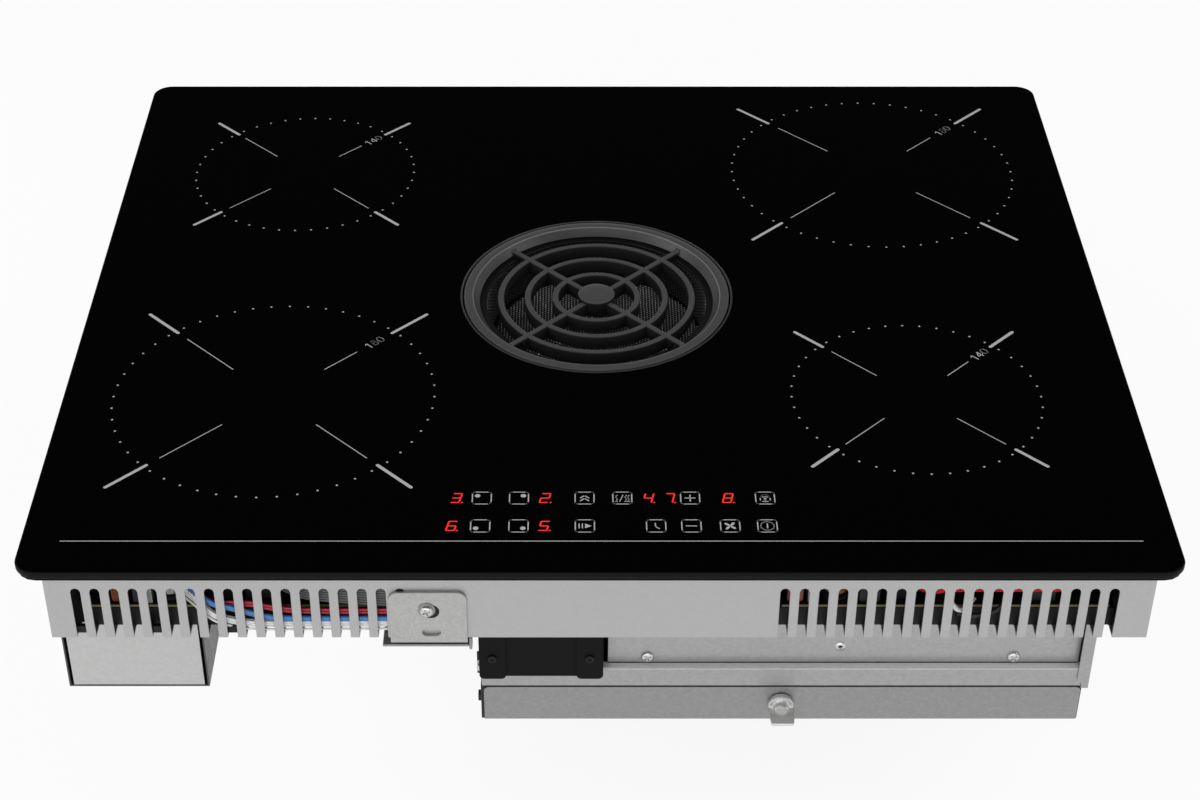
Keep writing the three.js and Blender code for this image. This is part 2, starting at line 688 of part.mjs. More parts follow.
/** The route of one harness wire along the channel behind the front skirt. */
function harnessWire(lane) {
  const y = boardFront - SEAT - lane.in;
  const right = -BOARD.innerEdge + TRAY.margin;
  const route = HARNESS_ROUTE;
  return wire([
    [right - route.root, y + route.rootBack, lane.start],
    [right - route.lift, y + route.liftBack, lane.start - route.liftDrop],
    [right - route.turn, y, lane.start - route.turnDrop],
    [right - route.dip, y, (lane.start + lane.z) / 2],
    [right - route.level, y, lane.z],
    [right - route.straight, y, lane.z],
    [right, y, lane.z],
  ], lane.radius, 14);
}

function harnessConnector() {
  const x = -BOARD.innerEdge + TRAY.margin + SEAT;
  const y = boardFront - CONNECTOR.setback;
  const z0 = floorTop + SEAT;
  const half = CONNECTOR.depth / 2;
  return block(x, x + CONNECTOR.length, y - half, y + half, z0, z0 + CONNECTOR.height);
}

/** The sleeved lead that runs from the right board to the front right coil. */
function coilLead() {
  const y = chassis.front + CHASSIS.sheet + 2 * SEAT + COIL_LEAD.radius;
  const z = -SLOT.drop - COIL_LEAD.tail / 2;
  const { inset, length, tail, rise, radius } = COIL_LEAD;
  const x0 = boardSpan(1)[0] + inset;
  const x1 = x0 + length;
  return wire([
    [x0 - tail, y + 2.5 * tail, z - tail / 2],
    [x0 - tail / 2, y + tail, z - tail / 4],
    [x0, y + radius / 2, z],
    [x0 + rise, y, z],
    [x1 - rise, y, z],
    [x1, y + radius / 2, z],
    [x1 + tail / 2, y + tail, z - tail / 4],
    [x1 + tail / 2, y + 2 * tail, z - tail / 2],
  ], radius, 14, 8);
}

// ---------------------------------------------------------------- clamps and terminal box

/** A worktop clamp, drawn on the front skirt: a plate, with a leg that hooks under the floor. */
function clampBracket() {
  const half = CLAMP.width / 2;
  const face = chassis.front - SEAT;
  const under = chassis.bottom - SEAT;
  const [x0, x1] = [CLAMP.x - half, CLAMP.x + half];
  const plate = rounded(x0, x1, under - CLAMP.sheet, -CLAMP.top, [0, 0, CLAMP.corner, CLAMP.corner]);
  const slot = CLAMP.slotWidth / 2;
  const slotX = CLAMP.x + CLAMP.slotShift;
  const slotZ = chassis.bottom + CLAMP.slotRise;
  const hole = rounded(slotX - CLAMP.slotLength / 2, slotX + CLAMP.slotLength / 2, slotZ - slot, slotZ + slot, slot);
  const leg = block(x0, x1, face - CLAMP.sheet, face + CLAMP.leg, under - CLAMP.sheet, under);
  const body = join(drawBack(plate, face - CLAMP.sheet, face, 3), leg);
  return cut(
    body,
    drawBack(hole, face - CLAMP.sheet - 1, face + 1, 2),
    bar(CLAMP.x, -CLAMP_SCREW.drop, CLAMP_SCREW.shankRadius + SEAT, face - CLAMP.sheet - 1, face + 1, 12),
  );
}

/** The screw that holds a clamp, its head in front of the plate. */
function clampScrew() {
  const face = chassis.front - SEAT - CLAMP.sheet - SEAT;
  const z = -CLAMP_SCREW.drop;
  return join(
    bar(CLAMP.x, z, CLAMP_SCREW.headRadius, face - CLAMP_SCREW.headHeight, face, 16),
    bar(CLAMP.x, z, CLAMP_SCREW.shankRadius, face - 1, chassis.front - SEAT, 8),
  );
}

const terminal = {
  left: chassis.left - TERMINAL.proud,
  right: chassis.left - TERMINAL.proud + TERMINAL.width,
  front: chassis.front + TERMINAL.frontGap,
  top: chassis.bottom - SEAT,
};
terminal.back = terminal.front + TERMINAL.depth;
terminal.bottom = terminal.top - TERMINAL.height;

/** The folded U of the terminal box: two sides and a floor below the chassis. */
function terminalBody() {
  const t = TERMINAL.sheet;
  const { left, right, top, bottom, front, back } = terminal;
  const { flange } = TERMINAL;
  return drawBack(outline([
    [left, bottom],
    [right, bottom],
    [right, top - t],
    [right + flange, top - t],
    [right + flange, top],
    [right - t, top],
    [right - t, bottom + t],
    [left + t, bottom + t],
    [left + t, top],
    [left, top],
  ]), front, back);
}

/** An end plate of the terminal box, set between its sides, with a rear hole for the gland. */
function terminalPlate(atBack) {
  const t = TERMINAL.sheet;
  const gap = TERMINAL.plateGap;
  const y = atBack ? terminal.back - 2 * t : terminal.front;
  const plate = block(
    terminal.left + t + gap,
    terminal.right - t - gap,
    y,
    y + t,
    terminal.bottom + t + SEAT,
    terminal.top,
  );
  if (!atBack) return plate;
  return cut(plate, bar(glandPlace.x, glandPlace.z, GLAND.radius + SEAT, y - 1, y + t + 1, 20));
}

const glandPlace = {
  x: (terminal.left + terminal.right) / 2,
  z: (terminal.top + terminal.bottom) / 2,
};

/** The mains inlet gland, empty: a body through the rear plate with a flange behind it. */
function cableGland() {
  const y = terminal.back - TERMINAL.sheet + SEAT;
  const body = bar(glandPlace.x, glandPlace.z, GLAND.radius, y - GLAND.length, y, 20);
  const nut = bar(glandPlace.x, glandPlace.z, GLAND.nutRadius, y, y + GLAND.nutLength, 6);
  const bore = bar(glandPlace.x, glandPlace.z, GLAND.boreRadius, y - GLAND.length - 1, y + GLAND.nutLength + 1, 16);
  return cut(join(body, nut), bore);
}

/** The terminal block, a row of ways with screw wells, on the floor of its box. */
function terminalBlock() {
  const x0 = glandPlace.x - TERMINAL_BLOCK.width / 2;
  const y0 = terminal.front + TERMINAL_BLOCK.setback;
  const z0 = terminal.bottom + TERMINAL.sheet + SEAT;
  const base = block(x0, x0 + TERMINAL_BLOCK.width, y0, y0 + TERMINAL_BLOCK.depth, z0, z0 + TERMINAL_BLOCK.height);
  const pitch = TERMINAL_BLOCK.width / TERMINAL_BLOCK.ways;
  const wells = times(TERMINAL_BLOCK.ways).map((i) => {
    const x = x0 + (i + 0.5) * pitch;
    return post(x, y0 + TERMINAL_BLOCK.depth / 2, pitch / 3, z0 + TERMINAL_BLOCK.wellFloor, z0 + TERMINAL_BLOCK.height + 1, 8);
  });
  return cut(base, wells);
}

// ---------------------------------------------------------------- extraction unit

/** The sheet-metal shell: top, sides, back, a low front rail with a shelf, open at the bottom. */
function fanBoxShell() {
  const { left, right, front, back, top, bottom, panelFace } = fanBox;
  const t = BOX.sheet;
  const face = panelFace + PANEL.sheet + SEAT;
  const upper = block(left, right, face, back, bottom, top);
  const rail = block(left, right, front, face + 1, bottom, -RAIL.top - SEAT);
  const inside = block(left + t, right - t, face - 1, back - t, bottom - 1, top - t);
  const behindRail = block(left + t, right - t, front + t, face + 1, bottom - 1, -RAIL.top - SEAT - t);
  const shelf = block(left + t / 2, right - t / 2, front + t / 2, front + RAIL.shelf, bottom, bottom + t);
  const wellHole = post(0, 0, wellOuter(top) + RUN, top - t - 1, top + 1, 40);
  const shell = cut(join(upper, rail), inside, behindRail, wellHole);
  const outlet = outletSpan();
  const opening = block(outlet.x0, outlet.x1, back - t - 1, back + 1, outlet.z0, outlet.z1);
  return cut(join(shell, shelf), opening);
}

/** The clear opening of the outlet in the rear wall. */
function outletSpan() {
  const x1 = scroll.x + SCROLL.exitRadius;
  return {
    x0: x1 - SCROLL.exitWidth,
    x1,
    z0: scroll.bottom + SCROLL.wall,
    z1: scroll.top - SCROLL.wall,
  };
}

/** The galvanised panel that closes the front of the box, hung in front of the shell's edge. */
function upperPanel() {
  const { left, right, panelFace } = fanBox;
  const shape = rounded(left + PANEL.left, right - PANEL.right, -RAIL.top, fanBox.top, 0);
  const holes = [
    [fanBox.middle + SCREW_OFFSET.left, -PANEL_SCREW.drop],
    [fanBox.middle + SCREW_OFFSET.right, -PANEL_SCREW.drop],
    [fanBox.middle + PANEL_RIVET.x, -PANEL_RIVET.drop],
  ].map(([x, z]) => bar(x, z, PANEL_SCREW.shankRadius + SEAT, panelFace - 1, panelFace + PANEL.sheet + 1, 10));
  return cut(drawBack(shape, panelFace, panelFace + PANEL.sheet), holes);
}

/** A pan-head screw of the upper panel, drawn at an X and a height. */
function panelScrew(x, z) {
  const face = fanBox.panelFace - SEAT;
  const { headRadius, headHeight, shankRadius, length } = PANEL_SCREW;
  const head = turned([
    [0, 0],
    [headRadius, 0],
    [headRadius, headHeight * 0.45],
    [headRadius * 0.72, headHeight],
    [0, headHeight],
  ], 12).rotateX(Math.PI / 2).translate(x, face, z);
  return join(head, bar(x, z, shankRadius, face - 0.5, face + length, 6));
}

/** The plate at the right that hangs from the chassis and carries the box's side. */
function sidePlate() {
  const t = SIDE_PLATE.sheet;
  const outer = chassis.right;
  const { flange, corner, tabWidth, tabDrop, bottom } = SIDE_PLATE;
  const top = chassis.bottom - SEAT;
  const plate = block(outer - t, outer, fanBox.front, fanBox.back, -bottom, top);
  const shape = rounded(outer - flange, outer, -bottom, top, [corner, 0, 0, 0]);
  const front = drawBack(shape, fanBox.front - t, fanBox.front);
  const tab = block(outer - tabWidth, outer, fanBox.front - t, fanBox.front, -bottom - tabDrop, -bottom);
  return join(plate, front, tab);
}

/** The moulded housing of the fan control: a cover in front of the rail and a tub inside the box. */
function controlHousing() {
  const left = fanBox.left - HOUSING.overlap;
  const right = left + HOUSING.width;
  const face = fanBox.front - SEAT - HOUSING.proud;
  const cover = rounded(left, right, -HOUSING.bottom, -HOUSING.top, HOUSING.corner);
  const lugs = [left, right - HOUSING.lug].map((x) => {
    const shape = rounded(x, x + HOUSING.lug, -HOUSING.bottom - HOUSING.lugDrop, -HOUSING.top - HOUSING.lugInset, HOUSING.lugCorner);
    return drawBack(shape, face - HOUSING.lugProud, face + HOUSING.wall);
  });
  const tubLeft = fanBox.left + BOX.sheet + SEAT;
  const tubBottom = -RAIL.top + SEAT;
  const tubRight = right - HOUSING.inset;
  const tubTop = -HOUSING.top - HOUSING.wall;
  const tubBack = face + HOUSING.proud + HOUSING.depth;
  const tub = block(tubLeft, tubRight, fanBox.front - 2 * SEAT, tubBack, tubBottom, tubTop);
  const w = HOUSING.wall;
  const inside = block(tubLeft + w, tubRight - w, face + w, tubBack + 1, tubBottom + w, tubTop - w);
  const body = join(drawBack(cover, face, fanBox.front - SEAT), lugs, tub);
  const screwZ = -HOUSING.bottom + HOUSING.screwRise;
  const holes = [left, right - HOUSING.lug].map((x) => (
    bar(x + HOUSING.lug / 2, screwZ, HOUSING.screwRadius, face - 2, face + HOUSING.wall / 2, 10)
  ));
  return cut(body, inside, holes);
}

/** The small board of the fan control, upright in its tub. */
function controlCard() {
  const left = fanBox.left + BOX.sheet + SEAT + HOUSING.wall + SEAT;
  const z0 = -RAIL.top + SEAT + HOUSING.wall + SEAT;
  const y = fanBox.front + CARD.setback;
  return block(left, left + CARD.width, y, y + CARD.thickness, z0, z0 + CARD.height);
}

/** Radius of the scroll's spiral at an angle in degrees. */
function spiralRadius(degrees) {
  const share = (degrees - SCROLL.tongueAngle) / (360 - SCROLL.tongueAngle);
  return SCROLL.tongueRadius + share * (SCROLL.exitRadius - SCROLL.tongueRadius);
}

/** The scroll's plan, grown outwards by its wall: a spiral and a flared way out. */
function scrollPlan(grow) {
  const { x: cx, y: cy, exitY } = scroll;
  const spiral = times(SCROLL.steps + 1).map((i) => {
    const degrees = SCROLL.tongueAngle + (i / SCROLL.steps) * (360 - SCROLL.tongueAngle);
    const angle = THREE.MathUtils.degToRad(degrees);
    const radius = spiralRadius(degrees) + grow;
    return [cx + radius * Math.cos(angle), cy + radius * Math.sin(angle)];
  });
  const tongue = THREE.MathUtils.degToRad(SCROLL.tongueAngle);
  const tip = [cx + SCROLL.tongueRadius * Math.cos(tongue), cy + SCROLL.tongueRadius * Math.sin(tongue)];
  const right = cx + SCROLL.exitRadius;
  const corner = [right - SCROLL.exitWidth, exitY];
  const slope = Math.atan2(corner[1] - tip[1], corner[0] - tip[0]);
  const out = [-Math.sin(slope) * grow, Math.cos(slope) * grow];
  const way = [
    [cx, cy],
    [right + grow, cy],
    [right + grow, exitY + (grow ? 0 : 1)],
    [corner[0] - out[0], corner[1] + (grow ? 0 : 1)],
    [tip[0] - out[0], tip[1] - out[1]],
  ];
  return { spiral, way };
}

function scrollHousing() {
  const { wall } = SCROLL;
  const outer = scrollPlan(wall);
  const inner = scrollPlan(0);
  const shell = join(
    raise(outline(outer.spiral), scroll.bottom, scroll.top),
    raise(outline(outer.way), scroll.bottom, scroll.top),
  );
  const inside = join(
    raise(outline(inner.spiral), scroll.bottom + wall, scroll.top - wall),
    raise(outline(inner.way), scroll.bottom + wall, scroll.top - wall),
  );
  const inletRadius = SCROLL.tongueRadius - SCROLL.inletMargin;
  const inlet = post(scroll.x, scroll.y, inletRadius, scroll.bottom - 1, scroll.bottom + wall + 1, 40);
  const shaftHole = post(scroll.x, scroll.y, MOTOR.shaftRadius + SCROLL.shaftGap, scroll.top - wall - 1, scroll.top + 1, 16);
  return cut(shell, inside, inlet, shaftHole);
}

/** The bellmouth that closes the bottom of the scroll round the impeller's eye. */
function inletRing() {
  const { throatRadius, sheet, rise, overlap } = INLET_RING;
  const z = scroll.bottom - SEAT;
  const outer = SCROLL.tongueRadius - SCROLL.inletMargin + overlap;
  return turned([
    [throatRadius, z + rise],
    [throatRadius + 2.2, z + 1],
    [throatRadius + 7, z - sheet],
    [outer, z - sheet],
    [outer, z],
    [throatRadius + 8.5, z],
    [throatRadius + 4, z + 1.8],
    [throatRadius + sheet, z + rise],
  ], 28).translate(scroll.x, scroll.y, 0);
}

const impellerTop = scroll.top - SCROLL.wall - 2 * RUN;
const impellerBottom = impellerTop - IMPELLER.height;
const motorTop = scroll.top - SCROLL.wall - SEAT;
const motorBottom = motorTop - MOTOR.flangeHeight - MOTOR.height;

/** The motor, hung under the scroll's top with its shaft pointing down. */
function fanMotor() {
  return turned([
    [0, motorBottom - MOTOR.shaftLength],
    [MOTOR.shaftRadius, motorBottom - MOTOR.shaftLength],
    [MOTOR.shaftRadius, motorBottom],
    [MOTOR.bodyRadius - 3, motorBottom],
    [MOTOR.bodyRadius, motorBottom + 3],
    [MOTOR.bodyRadius, motorTop - MOTOR.flangeHeight],
    [MOTOR.flangeRadius, motorTop - MOTOR.flangeHeight],
    [MOTOR.flangeRadius, motorTop],
    [0, motorTop],
  ], 24).translate(scroll.x, scroll.y, 0);
}

/** One forward-curved blade, drawn about the impeller's axis. */
function impellerBlade(turn) {
  const { innerRadius, outerRadius, sweep, bladeThickness } = IMPELLER;
  const stations = 4;
  const line = times(stations).map((i) => {
    const share = i / (stations - 1);
    const radius = innerRadius + share * (outerRadius - innerRadius - 0.6);
    const angle = turn + THREE.MathUtils.degToRad(sweep) * share * share;
    return [radius, angle];
  });
  const edge = (side) => line.map(([radius, angle]) => {
    const shifted = angle + (side * bladeThickness) / 2 / radius;
    return [radius * Math.cos(shifted), radius * Math.sin(shifted)];
  });
  const section = [...edge(-1), ...edge(1).reverse()];
  return raise(outline(section), impellerBottom + IMPELLER.plate / 2, impellerTop - IMPELLER.plate / 2);
}

/** The impeller about its own axis: a back plate dished round the motor, blades and a shroud ring. */
function impeller() {
  const { outerRadius, innerRadius, plate, hubRadius } = IMPELLER;
  const well = MOTOR.bodyRadius + RUN + 1;
  const dish = motorBottom - RUN;
  const bore = MOTOR.shaftRadius + SEAT;
  const hubBottom = motorBottom - MOTOR.shaftLength - 1;
  const back = turned([
    [bore, hubBottom],
    [hubRadius, hubBottom],
    [hubRadius, dish - plate],
    [well, dish - plate],
    [innerRadius - 8, impellerTop - plate],
    [outerRadius, impellerTop - plate],
    [outerRadius, impellerTop],
    [innerRadius - 9, impellerTop],
    [well, dish + 3],
    [well - 2, dish],
    [bore, dish],
  ], 36);
  const shroud = turned([
    [innerRadius + 1, impellerBottom],
    [outerRadius, impellerBottom],
    [outerRadius, impellerBottom + plate],
    [innerRadius + 1, impellerBottom + plate],
  ], 36);
  const blades = times(IMPELLER.blades).map((i) => impellerBlade((2 * Math.PI * i) / IMPELLER.blades));
  return join(back, shroud, blades);
}

/** The flat-duct spigot behind the box, with its flange on the rear wall. */
function outletCollar() {
  const { x0, x1, z0, z1 } = outletSpan();
  const { flange, flangeThickness, flangeCorner, sheet, length, corner } = COLLAR;
  const y = fanBox.back + SEAT;
  const right = Math.min(x1 + flange, fanBox.right);
  const plate = rounded(x0 - flange, right, z0 - flange, Math.min(z1 + flange, fanBox.top), flangeCorner);
  const sleeve = rounded(x0 - sheet, x1 + sheet, z0 - sheet, z1 + sheet, corner + sheet);
  const bore = rounded(x0, x1, z0, z1, corner);
  const body = join(drawBack(plate, y, y + flangeThickness, 2), drawBack(sleeve, y, y + length, 2));
  return cut(body, drawBack(bore, y - 1, y + length + 1, 2));
}

// ---------------------------------------------------------------- drip tray

const trayLeft = fanBox.left - DRIP.proud;
const trayRight = fanBox.right + DRIP.proud;
const trayFront = fanBox.front + FRONT_PLATE.sheet + SEAT;

/** The moulded tray, with a boss for the drain plug and a stop button on its left side. */
function dripTray() {
  const { wall, boss, bossLength } = DRIP;
  const shell = block(trayLeft, trayRight, trayFront, fanBox.back, tray.bottom, tray.top);
  const inside = block(
    trayLeft + wall,
    trayRight - wall,
    trayFront + wall,
    fanBox.back - wall,
    tray.bottom + wall,
    tray.top + 1,
  );
  const thick = bar(fanBox.middle, -PLUG.drop, boss, trayFront + wall / 2, trayFront + wall + bossLength, 20);
  const bore = bar(fanBox.middle, -PLUG.drop, PLUG.shankRadius + SEAT, trayFront - 1, trayFront + wall + bossLength + 1, 16);
  const { radius, height, sunk, setback, drop } = DRIP_BUTTON;
  const button = post(0, 0, radius, 0, height, 12).rotateY(-Math.PI / 2);
  button.translate(trayLeft + sunk, trayFront + setback, (tray.top + tray.bottom) / 2 - drop);
  return cut(join(cut(shell, inside), thick, button), bore);
}

/** The galvanised plate on the tray's front, with round top corners. */
function trayFrontPlate() {
  const { sheet, corner, inset, lift } = FRONT_PLATE;
  const shape = rounded(trayLeft + inset, trayRight - DRIP.proud, tray.bottom + lift, tray.top, [0, 0, corner, corner]);
  const plate = drawBack(shape, fanBox.front, fanBox.front + sheet);
  const hole = bar(fanBox.middle, -PLUG.drop, PLUG.shankRadius + SEAT, fanBox.front - 1, fanBox.front + sheet + 1, 16);
  return cut(plate, hole);
}

/** The foam gasket between the tray's rim and the shell. */
function trayGasket() {
  const { thickness, width, inset } = GASKET;
  const [x0, x1] = [fanBox.left + inset, fanBox.right - inset];
  const [y0, y1] = [trayFront + inset, fanBox.back - inset];
  const shape = rounded(x0, x1, y0, y1, 0);
  shape.holes.push(rounded(x0 + width, x1 - width, y0 + width, y1 - width, 0));
  return raise(shape, tray.top + SEAT, tray.top + SEAT + thickness);
}

/** The drain plug about its own axis, pointing forwards: shank, collar, neck and a flat wing. */
function drainPlug() {
  const { collarRadius, collarLength, neckRadius, neckLength, shankRadius, shankLength } = PLUG;
  const stem = turned([
    [0, -shankLength],
    [shankRadius, -shankLength],
    [shankRadius, 0],
    [collarRadius, 0],
    [collarRadius, collarLength * 0.75],
    [collarRadius - 1, collarLength],
    [neckRadius, collarLength],
    [neckRadius * 0.8, collarLength + neckLength],
    [0, collarLength + neckLength],
  ], 16).rotateX(Math.PI / 2);
  const start = collarLength + neckLength / 2;
  const half = PLUG.wingWidth / 2;
  const wing = outline([
    [-half, -start],
    [half, -start],
    [half - 1, -start - PLUG.wingLength],
    [-half + 1.6, -start - PLUG.wingLength],
  ]);
  return join(stem, raise(wing, -PLUG.wingThickness / 2, PLUG.wingThickness / 2));
}

// ---------------------------------------------------------------- materials

/** A plain material from a colour, a roughness and a metalness. */
function finish(color, roughness, metalness = 0) {
  return new THREE.MeshStandardMaterial({ color, roughness, metalness });
}

const glassBlack = finish(0x050506, 0.06);
const castGrey = finish(0x3a3b3d, 0.5);
const meshMetal = finish(0x9a9c9e, 0.35, 0.9);
const chassisSteel = finish(0xb3b4b5, 0.42, 0.6);
const galvanised = finish(0x9ea0a1, 0.38, 0.75);
const brightSteel = finish(0xc8c9ca, 0.25, 0.95);
const aluminium = finish(0xb9bbbe, 0.4, 0.85);
const blackPlastic = finish(0x1d1e1f, 0.55);
const rubber = finish(0x121213, 0.8);
const boardGreen = finish(0x8c7f5e, 0.6);
const copper = finish(0xa86038, 0.4, 0.8);
const capacitorRed = finish(0x7a2f22, 0.5);
const wireBlue = finish(0x2a6fb0, 0.5);
const wireRed = finish(0xb01530, 0.5);
const wireWhite = finish(0xd9dadb, 0.5);
const nylon = finish(0xc9c5b8, 0.55);

// ---------------------------------------------------------------- assembly

/** A named piece of the cooktop, added to the group that holds it. */
function piece(group, name, geometry, material) {
  const mesh = new THREE.Mesh(geometry, material);
  mesh.name = name;
  group.add(mesh);
  return mesh;
}

const SIDES = [['left', -1], ['right', 1]];
const cooktop = new THREE.Group();
const hob = new THREE.Group();
const inlet = new THREE.Group();
const extraction = new THREE.Group();
const drip = new THREE.Group();
cooktop.add(hob, inlet, extraction, drip);

piece(hob, 'glass_top', glassPlate(), glassBlack);
piece(hob, 'glass_seal', glassSeal(), rubber);
piece(hob, 'chassis_pan', chassisPan(), chassisSteel);
for (const [name, zone] of Object.entries(zones)) piece(hob, `coil_${name}`, coil(zone), copper);
for (const [name, side] of SIDES) {
  piece(hob, `coil_carrier_${name}`, coilCarrier(side), aluminium);
  piece(hob, `board_tray_${name}`, boardTray(side), blackPlastic);
  piece(hob, `power_board_${name}`, powerBoard(side), boardGreen);
  piece(hob, `heat_sink_${name}`, heatSink(side), aluminium);
}
for (const [name, side] of SIDES) {
  piece(hob, `film_capacitor_${name}`, filmCapacitor(side, CAPACITOR_INSET[name]), capacitorRed);
  piece(hob, `choke_${name}`, choke(side, CHOKE_INSET[name]), copper);
}
for (const [i, [name]] of SIDES.entries()) {
  const x = coolerPlaces()[i];
  piece(hob, `cooling_fan_frame_${name}`, coolerFrame(x), blackPlastic);
  piece(hob, `cooling_fan_rotor_${name}`, coolerRotor(), blackPlastic).position.set(x, coolerY, 0);
}
piece(hob, 'touch_board', touchBoard(), boardGreen);
piece(hob, 'touch_board_holder', touchHolder(), blackPlastic);
piece(hob, 'harness_blue', harnessWire(HARNESS.blue), wireBlue);
piece(hob, 'harness_red', harnessWire(HARNESS.red), wireRed);
piece(hob, 'harness_white', harnessWire(HARNESS.white), wireWhite);
piece(hob, 'harness_connector', harnessConnector(), nylon);
piece(hob, 'coil_lead', coilLead(), wireRed);

for (const [name, turn] of [['front', 0], ['rear', Math.PI]]) {
  const clamp = new THREE.Group();
  clamp.rotation.z = turn;
  hob.add(clamp);
  piece(clamp, `clamp_bracket_${name}`, clampBracket(), brightSteel);
  piece(clamp, `clamp_screw_${name}`, clampScrew(), brightSteel);
}

piece(hob, 'terminal_box_body', terminalBody(), chassisSteel);
piece(hob, 'terminal_box_front', terminalPlate(false), chassisSteel);
piece(hob, 'terminal_box_rear', terminalPlate(true), chassisSteel);
piece(hob, 'terminal_block', terminalBlock(), nylon);
piece(hob, 'cable_gland', cableGland(), blackPlastic);

piece(inlet, 'inlet_well', inletWell(), blackPlastic);
piece(inlet, 'grease_filter', greaseFilter(), meshMetal);
piece(inlet, 'grille', grille(), castGrey);

piece(extraction, 'fan_box_shell', fanBoxShell(), galvanised);
piece(extraction, 'front_panel_upper', upperPanel(), galvanised);
for (const [name] of SIDES) {
  const screw = panelScrew(fanBox.middle + SCREW_OFFSET[name], -PANEL_SCREW.drop);
  piece(extraction, `panel_screw_${name}`, screw, brightSteel);
}
piece(extraction, 'panel_rivet', panelScrew(fanBox.middle + PANEL_RIVET.x, -PANEL_RIVET.drop), brightSteel);
piece(extraction, 'side_plate_right', sidePlate(), chassisSteel);
piece(extraction, 'fan_control_housing', controlHousing(), blackPlastic);
piece(extraction, 'fan_control_card', controlCard(), boardGreen);
piece(extraction, 'scroll_housing', scrollHousing(), blackPlastic);
piece(extraction, 'inlet_ring', inletRing(), galvanised);
piece(extraction, 'fan_motor', fanMotor(), aluminium);
piece(extraction, 'impeller', impeller(), blackPlastic).position.set(scroll.x, scroll.y, 0);
piece(extraction, 'outlet_collar', outletCollar(), blackPlastic);

piece(drip, 'drip_tray', dripTray(), blackPlastic);
piece(drip, 'tray_front_plate', trayFrontPlate(), galvanised);
piece(drip, 'tray_gasket', trayGasket(), rubber);
piece(drip, 'drain_plug', drainPlug(), brightSteel).position.set(fanBox.middle, fanBox.front - SEAT, -PLUG.drop);

export default cooktop;
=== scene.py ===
"""Dresses the packed downdraft induction cooktop: finishes, fine forms, printed marks, lamps and camera.

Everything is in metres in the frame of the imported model: X to the right, Y to the back, Z up,
with the origin in the middle of the worktop cut-out at the underside of the glass.
"""

from __future__ import annotations

import logging
import math
from collections.abc import Callable, Iterable, Sequence
from dataclasses import dataclass
from enum import Enum

import bmesh
import bpy
from mathutils import Matrix, Vector


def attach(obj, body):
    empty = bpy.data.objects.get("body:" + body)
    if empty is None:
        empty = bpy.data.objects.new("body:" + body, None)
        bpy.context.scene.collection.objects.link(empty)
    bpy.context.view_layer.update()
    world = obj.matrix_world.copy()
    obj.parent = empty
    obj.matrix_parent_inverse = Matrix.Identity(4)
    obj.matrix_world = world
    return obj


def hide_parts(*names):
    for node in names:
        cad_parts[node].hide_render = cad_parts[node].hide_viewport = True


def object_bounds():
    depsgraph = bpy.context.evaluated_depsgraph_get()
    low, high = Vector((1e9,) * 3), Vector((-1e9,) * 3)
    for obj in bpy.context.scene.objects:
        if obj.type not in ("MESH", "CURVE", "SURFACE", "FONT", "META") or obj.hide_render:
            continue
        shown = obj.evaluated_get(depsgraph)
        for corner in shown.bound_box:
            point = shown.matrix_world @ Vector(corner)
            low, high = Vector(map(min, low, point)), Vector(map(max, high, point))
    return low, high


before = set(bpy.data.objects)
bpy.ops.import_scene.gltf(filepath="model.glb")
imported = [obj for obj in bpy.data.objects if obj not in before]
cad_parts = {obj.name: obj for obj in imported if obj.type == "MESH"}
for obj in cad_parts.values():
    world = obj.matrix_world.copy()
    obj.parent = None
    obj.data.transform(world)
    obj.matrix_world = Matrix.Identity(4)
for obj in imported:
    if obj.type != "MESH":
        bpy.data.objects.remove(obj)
cad_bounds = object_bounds()

log = logging.getLogger("cooktop")
MM = 0.001
Point = tuple[float, float, float]
Point2 = tuple[float, float]
Colour = tuple[float, float, float]
Feed = float | tuple[float, ...] | bpy.types.NodeSocket


class Body(Enum):
    """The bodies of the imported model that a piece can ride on."""

    COOKTOP = "cooktop"
    FILTER = "grease_filter"
    GRILLE = "grille"
    TRAY = "drip_tray"
    PLUG = "drain_plug"


class Surface(Enum):
    """The ways in which a finish varies over its surface."""

    PLAIN = "plain"
    ZINC_SHEET = "zinc sheet"
    BRUSHED = "brushed"
    MOULDED = "moulded"
    ENAMEL = "enamel"
    LAMINATE = "laminate"
    LIT = "lit"


# ---------------------------------------------------------------- effects shared by several finishes


def add_node(
    tree: bpy.types.NodeTree, kind: str, feeds: dict[str | int, Feed] | None = None, **options: str
) -> bpy.types.Node:
    """Adds a node, sets its options and feeds its inputs.

    Args:
        tree: The node tree.
        kind: The node's type, without the words before it.
        feeds: For each input, by name or number, a value or a socket to link from.
        options: The node's own options.

    Returns:
        The new node.
    """
    made = tree.nodes.new(f"ShaderNode{kind}")
    for key, value in options.items():
        setattr(made, key, value)
    for key, value in (feeds or {}).items():
        if isinstance(value, bpy.types.NodeSocket):
            tree.links.new(value, made.inputs[key])
        else:
            made.inputs[key].default_value = value
    return made


